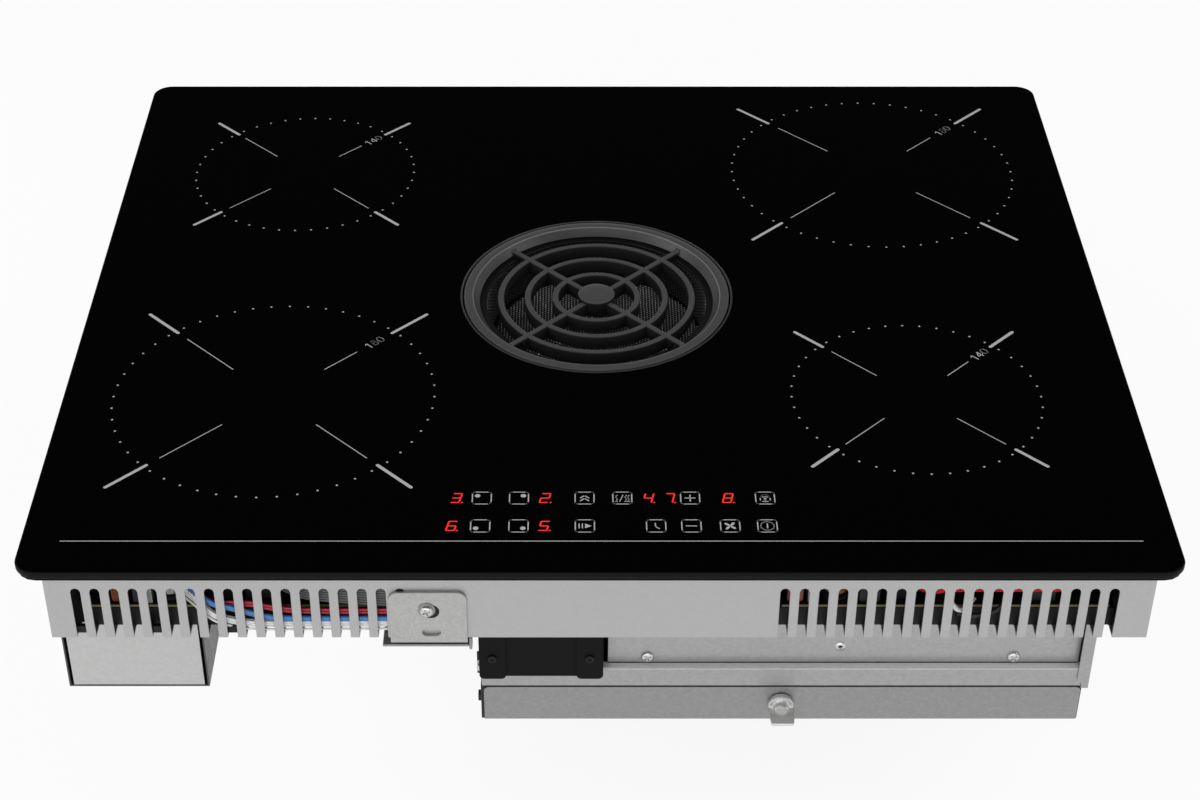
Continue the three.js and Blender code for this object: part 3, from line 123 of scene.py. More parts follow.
class Effects:
    """Builds each shader node group once and hands it to the finishes that use it."""

    def __init__(self) -> None:
        """Starts with no group built."""
        self._groups: dict[str, bpy.types.NodeTree] = {}

    def group(self, name: str) -> bpy.types.NodeTree:
        """Gives a node group, and builds it the first time.

        Args:
            name: One of "mottle", "grain", "zinc_spangle" and "brushing".

        Returns:
            The shader node group.
        """
        if name not in self._groups:
            tree = bpy.data.node_groups.new(name, "ShaderNodeTree")
            getattr(self, f"_{name}")(tree)
            self._groups[name] = tree
        return self._groups[name]

    @staticmethod
    def _inputs(tree: bpy.types.NodeTree, **defaults: float | Colour) -> dict[str, bpy.types.NodeSocket]:
        """Adds a group's inputs.

        Args:
            tree: The node group.
            defaults: Each input's default, by its name with underscores for spaces.

        Returns:
            The inputs' sockets, by the same names.
        """
        for key, default in defaults.items():
            coloured = isinstance(default, tuple)
            kind = "NodeSocketColor" if coloured else "NodeSocketFloat"
            socket = tree.interface.new_socket(key.replace("_", " "), in_out="INPUT", socket_type=kind)
            socket.default_value = (*default, 1.0) if coloured else default
        given = tree.nodes.new("NodeGroupInput")
        return {key: given.outputs[key.replace("_", " ")] for key in defaults}

    @staticmethod
    def _outputs(tree: bpy.types.NodeTree, **sources: bpy.types.NodeSocket) -> None:
        """Adds a group's outputs and links them.

        Args:
            tree: The node group.
            sources: What each output puts out, by its name.
        """
        kinds = {"Color": "NodeSocketColor", "Normal": "NodeSocketVector"}
        for key in sources:
            tree.interface.new_socket(key, in_out="OUTPUT", socket_type=kinds.get(key, "NodeSocketFloat"))
        out = tree.nodes.new("NodeGroupOutput")
        for key, source in sources.items():
            tree.links.new(source, out.inputs[key])

    @staticmethod
    def _scaled(
        tree: bpy.types.NodeTree, scale: bpy.types.NodeSocket, stretch: Point = (1, 1, 1)
    ) -> bpy.types.NodeSocket:
        """Multiplies the object's coordinates by a stretch and a common scale.

        Args:
            tree: The node group.
            scale: The common scale.
            stretch: How much each axis is stretched as well.

        Returns:
            The scaled coordinates.
        """
        place = add_node(tree, "TexCoord").outputs["Object"]
        stretched = add_node(tree, "VectorMath", {0: place, 1: stretch}, operation="MULTIPLY")
        return add_node(tree, "VectorMath", {0: stretched.outputs[0], "Scale": scale}, operation="SCALE").outputs[0]

    @staticmethod
    def _noise(tree: bpy.types.NodeTree, at: bpy.types.NodeSocket, detail: float) -> bpy.types.NodeSocket:
        """Adds a noise texture at the given coordinates and gives its factor."""
        return add_node(tree, "TexNoise", {"Vector": at, "Scale": 1.0, "Detail": detail}).outputs["Fac"]

    @staticmethod
    def _ranged(
        tree: bpy.types.NodeTree, value: bpy.types.NodeSocket, middle: Feed, spread: bpy.types.NodeSocket
    ) -> bpy.types.NodeSocket:
        """Turns a factor round a half into middle plus or minus spread.

        Args:
            tree: The node group.
            value: The factor.
            middle: The value that a factor of a half gives.
            spread: How far a full swing of the factor moves it.

        Returns:
            The ranged value.
        """
        centred = add_node(tree, "Math", {0: value, 1: 0.5}, operation="SUBTRACT").outputs[0]
        return add_node(tree, "Math", {0: centred, 1: spread, 2: middle}, operation="MULTIPLY_ADD").outputs[0]

    @staticmethod
    def _tinted(
        tree: bpy.types.NodeTree, colour: bpy.types.NodeSocket, value: bpy.types.NodeSocket
    ) -> bpy.types.NodeSocket:
        """Scales a colour's value and gives the new colour."""
        return add_node(tree, "HueSaturation", {"Value": value, "Color": colour}).outputs["Color"]

    @staticmethod
    def _bumped(
        tree: bpy.types.NodeTree, given: dict[str, bpy.types.NodeSocket], height: bpy.types.NodeSocket
    ) -> bpy.types.NodeSocket:
        """Turns a height into a normal, with the group's own strength and depth."""
        feeds = {"Strength": given["Strength"], "Distance": given["Depth"], "Height": height}
        return add_node(tree, "Bump", feeds).outputs[0]

    def _mottle(self, tree: bpy.types.NodeTree) -> None:
        """Slow cloudy changes of tone and gloss, as on any handled or painted surface.

        Args:
            tree: The node group.
        """
        given = self._inputs(
            tree, Color=(0.5, 0.5, 0.5), Scale=30.0, Tone_Spread=0.1, Roughness=0.4, Roughness_Spread=0.1
        )
        cloud = self._noise(tree, self._scaled(tree, given["Scale"]), 4.0)
        self._outputs(
            tree,
            Color=self._tinted(tree, given["Color"], self._ranged(tree, cloud, 1.0, given["Tone_Spread"])),
            Roughness=self._ranged(tree, cloud, given["Roughness"], given["Roughness_Spread"]),
        )

    def _grain(self, tree: bpy.types.NodeTree) -> None:
        """A fine pebbled height, for moulded plastic, enamel and laminate."""
        given = self._inputs(tree, Scale=900.0, Strength=0.2, Depth=0.00005)
        height = self._noise(tree, self._scaled(tree, given["Scale"]), 2.0)
        self._outputs(tree, Normal=self._bumped(tree, given, height))

    def _zinc_spangle(self, tree: bpy.types.NodeTree) -> None:
        """The faint crystals of a zinc coat: patches a little lighter, darker, duller or brighter.

        Args:
            tree: The node group.
        """
        given = self._inputs(
            tree, Color=(0.5, 0.5, 0.5), Scale=90.0, Tone_Spread=0.1, Roughness=0.35, Roughness_Spread=0.1
        )
        cells = add_node(tree, "TexVoronoi", {"Vector": self._scaled(tree, given["Scale"]), "Scale": 1.0})
        level = add_node(tree, "SeparateColor", {0: cells.outputs["Color"]})
        self._outputs(
            tree,
            Color=self._tinted(tree, given["Color"], self._ranged(tree, level.outputs[0], 1.0, given["Tone_Spread"])),
            Roughness=self._ranged(tree, level.outputs[1], given["Roughness"], given["Roughness_Spread"]),
        )

    def _brushing(self, tree: bpy.types.NodeTree) -> None:
        """Long fine lines along X, as rolling or brushing leaves on sheet metal."""
        given = self._inputs(tree, Scale=40.0, Strength=0.1, Depth=0.00003)
        lines = self._noise(tree, self._scaled(tree, given["Scale"], (0.6, 60, 60)), 3.0)
        self._outputs(tree, Normal=self._bumped(tree, given, lines))


EFFECTS = Effects()


# ---------------------------------------------------------------- finishes


@dataclass(frozen=True)
class Finish:
    """One finish of the appliance, with the numbers that its material is built from.

    Attributes:
        name: What the finish is called in the file.
        colour: Base colour, as linear light.
        roughness: How dull it is, from 0 to 1.
        metallic: 1 for bare metal.
        surface: How it varies over the surface.
        scale: Size of its texture, as counts a metre.
        tone: How much its tone swings.
        gloss_swing: How much its roughness swings.
        relief: Strength of its bump.
        specular: Specular level of its shader.
        coat: Weight of a clear coat.
        glow: Strength of its own light.
    """

    name: str
    colour: Colour
    roughness: float
    metallic: float = 0.0
    surface: Surface = Surface.PLAIN
    scale: float = 60.0
    tone: float = 0.08
    gloss_swing: float = 0.08
    relief: float = 0.15
    specular: float = 0.5
    coat: float = 0.0
    glow: float = 0.0

    def material(self) -> bpy.types.Material:
        """Gives the finish's material, and builds it the first time."""
        made = bpy.data.materials.get(self.name)
        return made if made else self._build()

    def _build(self) -> bpy.types.Material:
        """Builds the material from its shader, its colour effect and its relief effect.

        Returns:
            The new material.
        """
        material = bpy.data.materials.new(self.name)
        material.use_nodes = True
        material.diffuse_color = (*self.colour, 1.0)
        tree = material.node_tree
        shader = tree.nodes["Principled BSDF"]
        colour = (*self.colour, 1.0)
        own = {
            "Base Color": colour, "Roughness": self.roughness, "Metallic": self.metallic,
            "Specular IOR Level": self.specular, "Coat Weight": self.coat,
        }
        if self.surface is Surface.LIT:
            own |= {"Emission Color": colour, "Emission Strength": self.glow}
        for key, value in own.items():
            shader.inputs[key].default_value = value
        if self.surface is Surface.LIT:
            return material
        effect = "zinc_spangle" if self.surface is Surface.ZINC_SHEET else "mottle"
        values = {"Color": colour, "Scale": self.scale, "Tone Spread": self.tone}
        values |= {"Roughness": self.roughness, "Roughness Spread": self.gloss_swing}
        tone = self._place(tree, effect, values)
        tree.links.new(tone.outputs["Color"], shader.inputs["Base Color"])
        tree.links.new(tone.outputs["Roughness"], shader.inputs["Roughness"])
        self._relief(tree, shader)
        return material

    def _relief(self, tree: bpy.types.NodeTree, shader: bpy.types.Node) -> None:
        """Adds the bump that goes with the finish's surface.

        Args:
            tree: The material's nodes.
            shader: The material's shader node.
        """
        counts = {Surface.MOULDED: 1800.0, Surface.ENAMEL: 1300.0, Surface.LAMINATE: 2500.0}
        if self.surface in (Surface.ZINC_SHEET, Surface.BRUSHED):
            relief = self._place(tree, "brushing", {"Strength": self.relief})
        elif self.surface in counts:
            relief = self._place(tree, "grain", {"Scale": counts[self.surface], "Strength": self.relief})
        else:
            return
        tree.links.new(relief.outputs["Normal"], shader.inputs["Normal"])

    @staticmethod
    def _place(tree: bpy.types.NodeTree, name: str, values: dict[str, Feed]) -> bpy.types.Node:
        """Places one shared effect in a material.

        Args:
            tree: The material's nodes.
            name: The effect's name.
            values: The values of its inputs.

        Returns:
            The group node.
        """
        node = tree.nodes.new("ShaderNodeGroup")
        node.node_tree = EFFECTS.group(name)
        for key, value in values.items():
            node.inputs[key].default_value = value
        return node


BLACK_GLASS = Finish("black_glass", (0.0006, 0.0006, 0.0007), 0.03, scale=8, tone=0.02, gloss_swing=0.01, specular=0.3)
GROUND_EDGE = Finish(
    "ground_glass_edge", (0.0025, 0.0025, 0.003), 0.55, scale=200, surface=Surface.MOULDED, relief=0.1, specular=0.1
)
PRINT_GREY = Finish("printed_grey", (0.42, 0.42, 0.42), 0.5, scale=900, tone=0.12)
RED_DIGIT = Finish("red_digit", (0.62, 0.012, 0.008), 0.5, surface=Surface.LIT, glow=0.85)
SEAL_FOAM = Finish("seal_foam", (0.004, 0.004, 0.004), 0.9, surface=Surface.MOULDED, relief=0.5, specular=0.1)
CHASSIS_ZINC = Finish("chassis_zinc", (0.425, 0.425, 0.425), 0.42, 0.85, Surface.ZINC_SHEET, 420, 0.03, 0.04, 0.04)
BOX_ZINC = Finish("box_zinc", (0.358, 0.358, 0.358), 0.4, 0.75, Surface.ZINC_SHEET, 520, 0.1, 0.12, 0.08)
TERMINAL_ZINC = Finish("terminal_zinc", (0.48, 0.48, 0.478), 0.45, 0.7, Surface.ZINC_SHEET, 520, 0.07, 0.1, 0.06)
# Painted shade: the terminal box's tub is darkened because its side walls lie in shadow.
SHADED_TERMINAL_WALL = Finish("terminal_wall_painted_shade", (0.075, 0.075, 0.077), 0.42, 0.6, Surface.ZINC_SHEET, 420, 0.1, 0.1, 0.06)
PANEL_STEEL = Finish("panel_steel", (0.37, 0.37, 0.37), 0.4, 0.75, Surface.ZINC_SHEET, 620, 0.09, 0.12, 0.08)
TRAY_STEEL = Finish("tray_steel", (0.285, 0.285, 0.285), 0.42, 0.75, Surface.ZINC_SHEET, 620, 0.12, 0.12, 0.1)
SATIN_ZINC = Finish("satin_zinc", (0.42, 0.42, 0.412), 0.38, 0.8, Surface.ZINC_SHEET, 900, 0.14, 0.14, 0.1)
# Painted highlight: a pale zinc for the upward-facing ledge under the front panel, where light from above falls.
LEDGE_PAINTED_LIGHT = Finish("ledge_painted_light", (0.72, 0.72, 0.72), 0.45, 0.35, Surface.ZINC_SHEET, 520, 0.06, 0.1, 0.06)
PLUG_NICKEL = Finish("plug_nickel", (0.66, 0.66, 0.655), 0.3, 0.7, scale=300, tone=0.06, gloss_swing=0.1)
SCREW_STEEL = Finish("screw_steel", (0.58, 0.58, 0.57), 0.28, 0.9, scale=400, tone=0.1, gloss_swing=0.1)
BRIGHT_NICKEL = Finish("bright_nickel", (0.72, 0.72, 0.71), 0.14, 1.0, scale=90, tone=0.04, gloss_swing=0.06)
ALUMINIUM = Finish("plain_aluminium", (0.62, 0.63, 0.64), 0.34, 1.0, Surface.BRUSHED, 60, 0.05, 0.08, 0.1)
GRILLE_ENAMEL = Finish(
    "grille_enamel", (0.054, 0.054, 0.055), 0.46, surface=Surface.ENAMEL, scale=120, tone=0.12, relief=0.55
)
# Painted shade: a darker copy of the grille enamel for the sloping wall, which gets less light than the rim.
SHADED_GRILLE_WALL = Finish(
    "grille_wall_painted_shade", (0.031, 0.031, 0.0315), 0.42, surface=Surface.ENAMEL, scale=120, tone=0.12, relief=0.5
)
# Painted shade: a near-black copy of the enamel for the bars' sides and other shaded faces.
PAINTED_SHADE_DARK = Finish(
    "painted_shade_dark", (0.009, 0.009, 0.0092), 0.5, surface=Surface.ENAMEL, scale=120, tone=0.12, relief=0.5, specular=0.2
)
# Painted highlight: a pale copy of the enamel for the rim's inner edge, where the edge catches light.
PAINTED_HIGHLIGHT_EDGE = Finish("grille_edge_painted_highlight", (0.13, 0.13, 0.132), 0.4, surface=Surface.ENAMEL, scale=120, tone=0.3, relief=0.5)
FILTER_GLINT = Finish(
    "filter_glint", (0.97, 0.97, 0.97), 0.36, 0.9, scale=300, tone=0.15, gloss_swing=0.05, relief=0.05
)
# Partly a painted glint: the holes' bare cut metal is made pale and matt so that the holes show as bright dots.
HOLE_EDGE_PAINTED_GLINT = Finish("filter_metal", (0.9, 0.9, 0.9), 0.35, 0.15, scale=300, tone=0.2)
# Partly painted shade: the filter's dark sheet is made near black for the shade under the grille.
SHADED_FILTER_BLACK = Finish("filter_black_painted_shade", (0.004, 0.004, 0.004), 0.5, scale=300, tone=0.2, specular=0.25)
MOULDED_BLACK = Finish(
    "moulded_black", (0.008, 0.008, 0.0085), 0.52, surface=Surface.MOULDED, scale=40, relief=0.35, specular=0.4
)
TRAY_BLACK = Finish(
    "tray_black", (0.004, 0.004, 0.004), 0.5, surface=Surface.MOULDED, scale=60, relief=0.2, specular=0.25
)
HOUSING_BLACK = Finish(
    "housing_black", (0.003, 0.003, 0.0032), 0.65, surface=Surface.MOULDED, scale=30, relief=0.3, specular=0.12
)
# Partly painted shade: the boards' dark mask is made near black because their tops lie in shadow.
SHADED_SOLDER_MASK = Finish(
    "solder_mask_painted_shade", (0.006, 0.008, 0.006), 0.45, surface=Surface.LAMINATE, scale=300, tone=0.3, relief=0.1, specular=0.3
)
FERRITE = Finish("ferrite", (0.012, 0.012, 0.013), 0.5, surface=Surface.MOULDED, scale=200, relief=0.2)
CAN_SLEEVE = Finish("can_sleeve", (0.01, 0.012, 0.016), 0.25, scale=120, coat=0.3)
LAMINATE = Finish(
    "board_laminate", (0.15, 0.122, 0.075), 0.5, surface=Surface.LAMINATE, scale=500, tone=0.3, relief=0.2
)
WINDING = Finish("winding", (0.45, 0.19, 0.08), 0.34, 0.6, scale=700, tone=0.4)
CAPACITOR_RED = Finish("capacitor_red", (0.055, 0.006, 0.006), 0.3, scale=80, coat=0.2)
CAPACITOR_BROWN = Finish("capacitor_brown", (0.2, 0.045, 0.02), 0.32, scale=80, coat=0.2)
WIRE_BLUE = Finish("wire_blue", (0.008, 0.05, 0.13), 0.42, scale=200, tone=0.15, specular=0.25)
WIRE_RED = Finish("wire_red", (0.2, 0.002, 0.008), 0.42, scale=200, tone=0.15, specular=0.2)
SLEEVE_CRIMSON = Finish("sleeve_crimson", (0.34, 0.0012, 0.014), 0.5, scale=200, tone=0.12, specular=0.15)
WIRE_WHITE = Finish("wire_white", (0.36, 0.36, 0.36), 0.4, scale=200, tone=0.1)
WIRE_GREY = Finish("wire_grey", (0.12, 0.12, 0.12), 0.42, scale=200, tone=0.1)
NYLON = Finish("natural_nylon", (0.62, 0.59, 0.5), 0.42, surface=Surface.MOULDED, scale=60, relief=0.1)

NODE_FINISHES: dict[Finish, tuple[str, ...]] = {
    BLACK_GLASS: ("glass_top",),
    SEAL_FOAM: ("glass_seal", "tray_gasket"),
    CHASSIS_ZINC: ("chassis_pan",),
    BOX_ZINC: ("side_plate_right", "fan_box_shell", "inlet_ring"),
    TERMINAL_ZINC: ("terminal_box_front", "terminal_box_rear"),
    SHADED_TERMINAL_WALL: ("terminal_box_body",),
    PANEL_STEEL: ("front_panel_upper",),
    TRAY_STEEL: ("tray_front_plate",),
    SATIN_ZINC: ("clamp_bracket_front", "clamp_bracket_rear"),
    BRIGHT_NICKEL: (
        "clamp_screw_front", "clamp_screw_rear", "panel_screw_left", "panel_screw_right", "panel_rivet", "drain_plug",
    ),
    ALUMINIUM: ("coil_carrier_left", "coil_carrier_right", "heat_sink_left", "heat_sink_right", "fan_motor"),
    WINDING: ("coil_rear_left", "coil_front_left", "coil_rear_right", "coil_front_right", "choke_left", "choke_right"),
    GRILLE_ENAMEL: ("grille",),
    SHADED_FILTER_BLACK: ("grease_filter",),
    MOULDED_BLACK: (
        "cooling_fan_frame_left", "cooling_fan_frame_right", "cooling_fan_rotor_left", "cooling_fan_rotor_right",
        "touch_board_holder", "cable_gland", "inlet_well", "scroll_housing", "impeller", "outlet_collar", "drip_tray",
    ),
    TRAY_BLACK: ("board_tray_left", "board_tray_right"),
    HOUSING_BLACK: ("fan_control_housing",),
    SHADED_SOLDER_MASK: ("power_board_left", "power_board_right", "touch_board", "fan_control_card"),
    CAPACITOR_RED: ("film_capacitor_right",),
    CAPACITOR_BROWN: ("film_capacitor_left",),
    WIRE_BLUE: ("harness_blue",),
    WIRE_RED: ("harness_red",),
    SLEEVE_CRIMSON: ("coil_lead",),
    WIRE_WHITE: ("harness_white",),
    NYLON: ("harness_connector", "terminal_block"),
}


# ---------------------------------------------------------------- mesh helpers


def outline_of(width: float, height: float, corner: float, steps: int = 8) -> list[Point2]:
    """A rounded rectangle round the origin, counter-clockwise.

    Args:
        width: Size along X.
        height: Size along Y.
        corner: Corner radius.
        steps: Points less one on each corner.

    Returns:
        The outline's points.
    """
    points = []
    for index, (sx, sy) in enumerate(((1, 1), (-1, 1), (-1, -1), (1, -1))):
        cx, cy = sx * (width / 2 - corner), sy * (height / 2 - corner)
        for step in range(steps + 1):
            angle = math.pi / 2 * (index + step / steps)
            points.append((cx + corner * math.cos(angle), cy + corner * math.sin(angle)))
    return points


def metres(points: Iterable[Sequence[float]]) -> list[tuple[float, ...]]:
    """Turns points in millimetres into metres."""
    return [tuple(value * MM for value in point) for point in points]


def circle_of(radius: float, count: int, start: float = 0.0) -> list[Point2]:
    """Evenly spaced points on a circle round the origin, counter-clockwise.

    Args:
        radius: The circle's radius.
        count: How many points.
        start: Angle of the first point.

    Returns:
        The points.
    """
    return [
        (radius * math.cos(start + math.tau * i / count), radius * math.sin(start + math.tau * i / count))
        for i in range(count)
    ]


def mesh_object(name: str, points: Iterable[Sequence[float]], faces: Iterable[Sequence[int]]) -> bpy.types.Object:
    """Makes an object from points and faces and links it to the scene.

    Args:
        name: The object's name.
        points: Its points, in metres.
        faces: Its faces, as indices of points.

    Returns:
        The new object, at the origin.
    """
    mesh = bpy.data.meshes.new(name)
    mesh.from_pydata([tuple(p) for p in points], [], [tuple(f) for f in faces])
    mesh.validate()
    made = bpy.data.objects.new(name, mesh)
    bpy.context.scene.collection.objects.link(made)
    return made


def painted(made: bpy.types.Object, *finishes: Finish) -> None:
    """Gives an object one material slot for each finish, in that order."""
    for finish in finishes:
        made.data.materials.append(finish.material())


def tidy_normals(made: bpy.types.Object, merge: float = 0.00001) -> None:
    """Merges a mesh's doubled points and turns its faces outwards.

    Args:
        made: The object.
        merge: How close two points are merged.
    """
    work = bmesh.new()
    work.from_mesh(made.data)
    bmesh.ops.remove_doubles(work, verts=work.verts, dist=merge)
    bmesh.ops.recalc_face_normals(work, faces=work.faces)
    work.to_mesh(made.data)
    work.free()


def smooth_by_angle(made: bpy.types.Object, degrees: float = 35.0) -> None:
    """Shades a mesh smooth, and keeps edges sharper than the angle as edges.

    Args:
        made: The object.
        degrees: The angle from which an edge stays sharp.
    """
    work = bmesh.new()
    work.from_mesh(made.data)
    limit = math.radians(degrees)
    for face in work.faces:
        face.smooth = True
    for edge in work.edges:
        edge.smooth = len(edge.link_faces) == 2 and edge.calc_face_angle(0.0) < limit
    work.to_mesh(made.data)
    work.free()


def lofted(name: str, loops: Sequence[Sequence[Point]], closed: bool = False) -> bpy.types.Object:
    """Joins loops of equal length with quads.

    Args:
        name: The object's name.
        loops: The loops, each a closed row of points.
        closed: Whether the last loop joins the first; otherwise both ends are capped.

    Returns:
        The new object.
    """
    count = len(loops[0])
    points = [p for loop in loops for p in loop]
    faces: list[Sequence[int]] = []
    spans = len(loops) if closed else len(loops) - 1
    for row in range(spans):
        a, b = row * count, (row + 1) % len(loops) * count
        faces += [(a + i, a + (i + 1) % count, b + (i + 1) % count, b + i) for i in range(count)]
    if not closed:
        faces += [list(range(count))[::-1], list(range((len(loops) - 1) * count, len(loops) * count))]
    made = mesh_object(name, points, faces)
    tidy_normals(made)
    return made


def turned(
    name: str, profile: Iterable[Point2], centre: Point = (0, 0, 0), count: int = 96, closed: bool = True
) -> bpy.types.Object:
    """Turns a profile of (radius, height) points about a vertical axis.

    Args:
        name: The object's name.
        profile: The profile's points.
        centre: The axis's foot, to which the heights are added.
        count: Steps round the axis.
        closed: Whether the profile's last point joins its first.

    Returns:
        The new object.
    """
    loops = [
        [(centre[0] + x, centre[1] + y, centre[2] + height) for x, y in circle_of(radius, count)]
        for radius, height in profile
    ]
    return lofted(name, loops, closed)


def swept(name: str, path: Sequence[Point], radius: float, sides: int = 10) -> bpy.types.Object:
    """A round tube along a smooth path.

    Args:
        name: The object's name.
        path: Points that the tube passes through.
        radius: The tube's radius.
        sides: Sides of the tube.

    Returns:
        The new object.
    """
    knots = [Vector(p) for p in path]
    knots = [2 * knots[0] - knots[1], *knots, 2 * knots[-1] - knots[-2]]
    line: list[Vector] = []
    for a, b, c, d in zip(knots, knots[1:], knots[2:], knots[3:]):
        for step in range(6):
            t = step / 6
            line.append(
                0.5 * ((2 * b) + (c - a) * t + (2 * a - 5 * b + 4 * c - d) * t * t + (3 * b - a - 3 * c + d) * t**3)
            )
    line.append(knots[-2])
    side = (line[1] - line[0]).orthogonal().normalized()
    loops = []
    for index, at in enumerate(line):
        ahead = line[min(index + 1, len(line) - 1)] - line[max(index - 1, 0)]
        ahead.normalize()
        side = (side - side.dot(ahead) * ahead).normalized()
        across = ahead.cross(side)
        loops.append([tuple(at + radius * (x * side + y * across)) for x, y in circle_of(1.0, sides)])
    made = lofted(name, loops)
    smooth_by_angle(made, 60)
    return made


def joined(name: str, parts: Sequence[bpy.types.Object]) -> bpy.types.Object:
    """Joins several mesh objects into one, each keeping its materials.

    Args:
        name: The joined object's name.
        parts: The objects, which are used up.

    Returns:
        The joined object.
    """
    bpy.ops.object.select_all(action="DESELECT")
    for part in parts:
        part.select_set(True)
    bpy.context.view_layer.objects.active = parts[0]
    if len(parts) > 1:
        bpy.ops.object.join()
    parts[0].name = name
    parts[0].data.name = name
    return parts[0]


def applied(made: bpy.types.Object) -> bpy.types.Object:
    """Applies every modifier of an object to its mesh and gives the object back.

    Args:
        made: The object.

    Returns:
        The same object.
    """
    bpy.context.view_layer.update()
    mesh = bpy.data.meshes.new_from_object(made.evaluated_get(bpy.context.evaluated_depsgraph_get()))
    made.modifiers.clear()
    made.data = mesh
    return made


def bevelled(made: bpy.types.Object, width: float, segments: int = 2, degrees: float = 30.0) -> bpy.types.Object:
    """Rounds an object's sharp edges.

    Args:
        made: The object.
        width: Width of the rounding.
        segments: Steps of the rounding.
        degrees: The angle from which an edge is rounded.

    Returns:
        The same object.
    """
    bevel = made.modifiers.new("edges", "BEVEL")
    bevel.width = width
    bevel.segments = segments
    bevel.limit_method = "ANGLE"
    bevel.angle_limit = math.radians(degrees)
    return applied(made)


def box_piece(name: str, low: Point, high: Point, edge: float = 0.0003) -> bpy.types.Object:
    """A block with rounded edges between two corners.

    Args:
        name: The object's name.
        low: Its lowest corner.
        high: Its highest corner.
        edge: Width of the rounding.

    Returns:
        The new object.
    """
    (x0, y0, z0), (x1, y1, z1) = low, high
    loops = [[(x0, y0, z), (x1, y0, z), (x1, y1, z), (x0, y1, z)] for z in (z0, z1)]
    made = lofted(name, loops)
    return bevelled(made, edge) if edge else made


def refined(node: str, name: str, width: float, degrees: float = 30.0, segments: int = 2) -> bpy.types.Object:
    """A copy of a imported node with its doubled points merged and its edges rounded.

    Args:
        node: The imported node.
        name: The new object's name.
        width: Width of the rounding.
        degrees: The angle from which an edge is rounded.
        segments: Steps of the rounding.

    Returns:
        The new object.
    """
    made = bpy.data.objects.new(name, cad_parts[node].data.copy())
    bpy.context.scene.collection.objects.link(made)
    made.data.materials.clear()
    work = bmesh.new()
    work.from_mesh(made.data)
    bmesh.ops.remove_doubles(work, verts=work.verts, dist=0.000005)
    bmesh.ops.dissolve_limit(work, angle_limit=math.radians(0.5), verts=work.verts, edges=work.edges)
    bmesh.ops.recalc_face_normals(work, faces=work.faces)
    work.to_mesh(made.data)
    work.free()
    if width:
        bevelled(made, width, segments, degrees)
    smooth_by_angle(made, 38)
    weighted = made.modifiers.new("normals", "WEIGHTED_NORMAL")
    weighted.weight = 100
    weighted.keep_sharp = True
    return applied(made)


class SubAssembly:
    """What every sub-assembly shares: putting a finished piece in its place in the model."""

    body: Body = Body.COOKTOP

    def put(
        self,
        made: bpy.types.Object,
        finish: Finish,
        slot: str,
        body: Body | None = None,
        replaces: Sequence[str] = (),
    ) -> bpy.types.Object:
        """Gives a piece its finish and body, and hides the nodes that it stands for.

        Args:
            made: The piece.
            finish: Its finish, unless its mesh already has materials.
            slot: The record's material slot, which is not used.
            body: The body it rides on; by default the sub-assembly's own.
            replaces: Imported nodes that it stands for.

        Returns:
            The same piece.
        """
        if not made.data.materials:
            made.data.materials.append(finish.material())
        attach(made, (body or self.body).value)
        if replaces:
            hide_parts(*replaces)
        log.info("%s rides on %s", made.name, (body or self.body).value)
        return made

    def dress(self) -> None:
        """Builds and places the sub-assembly's pieces."""
        raise NotImplementedError


# ---------------------------------------------------------------- the scene round the object


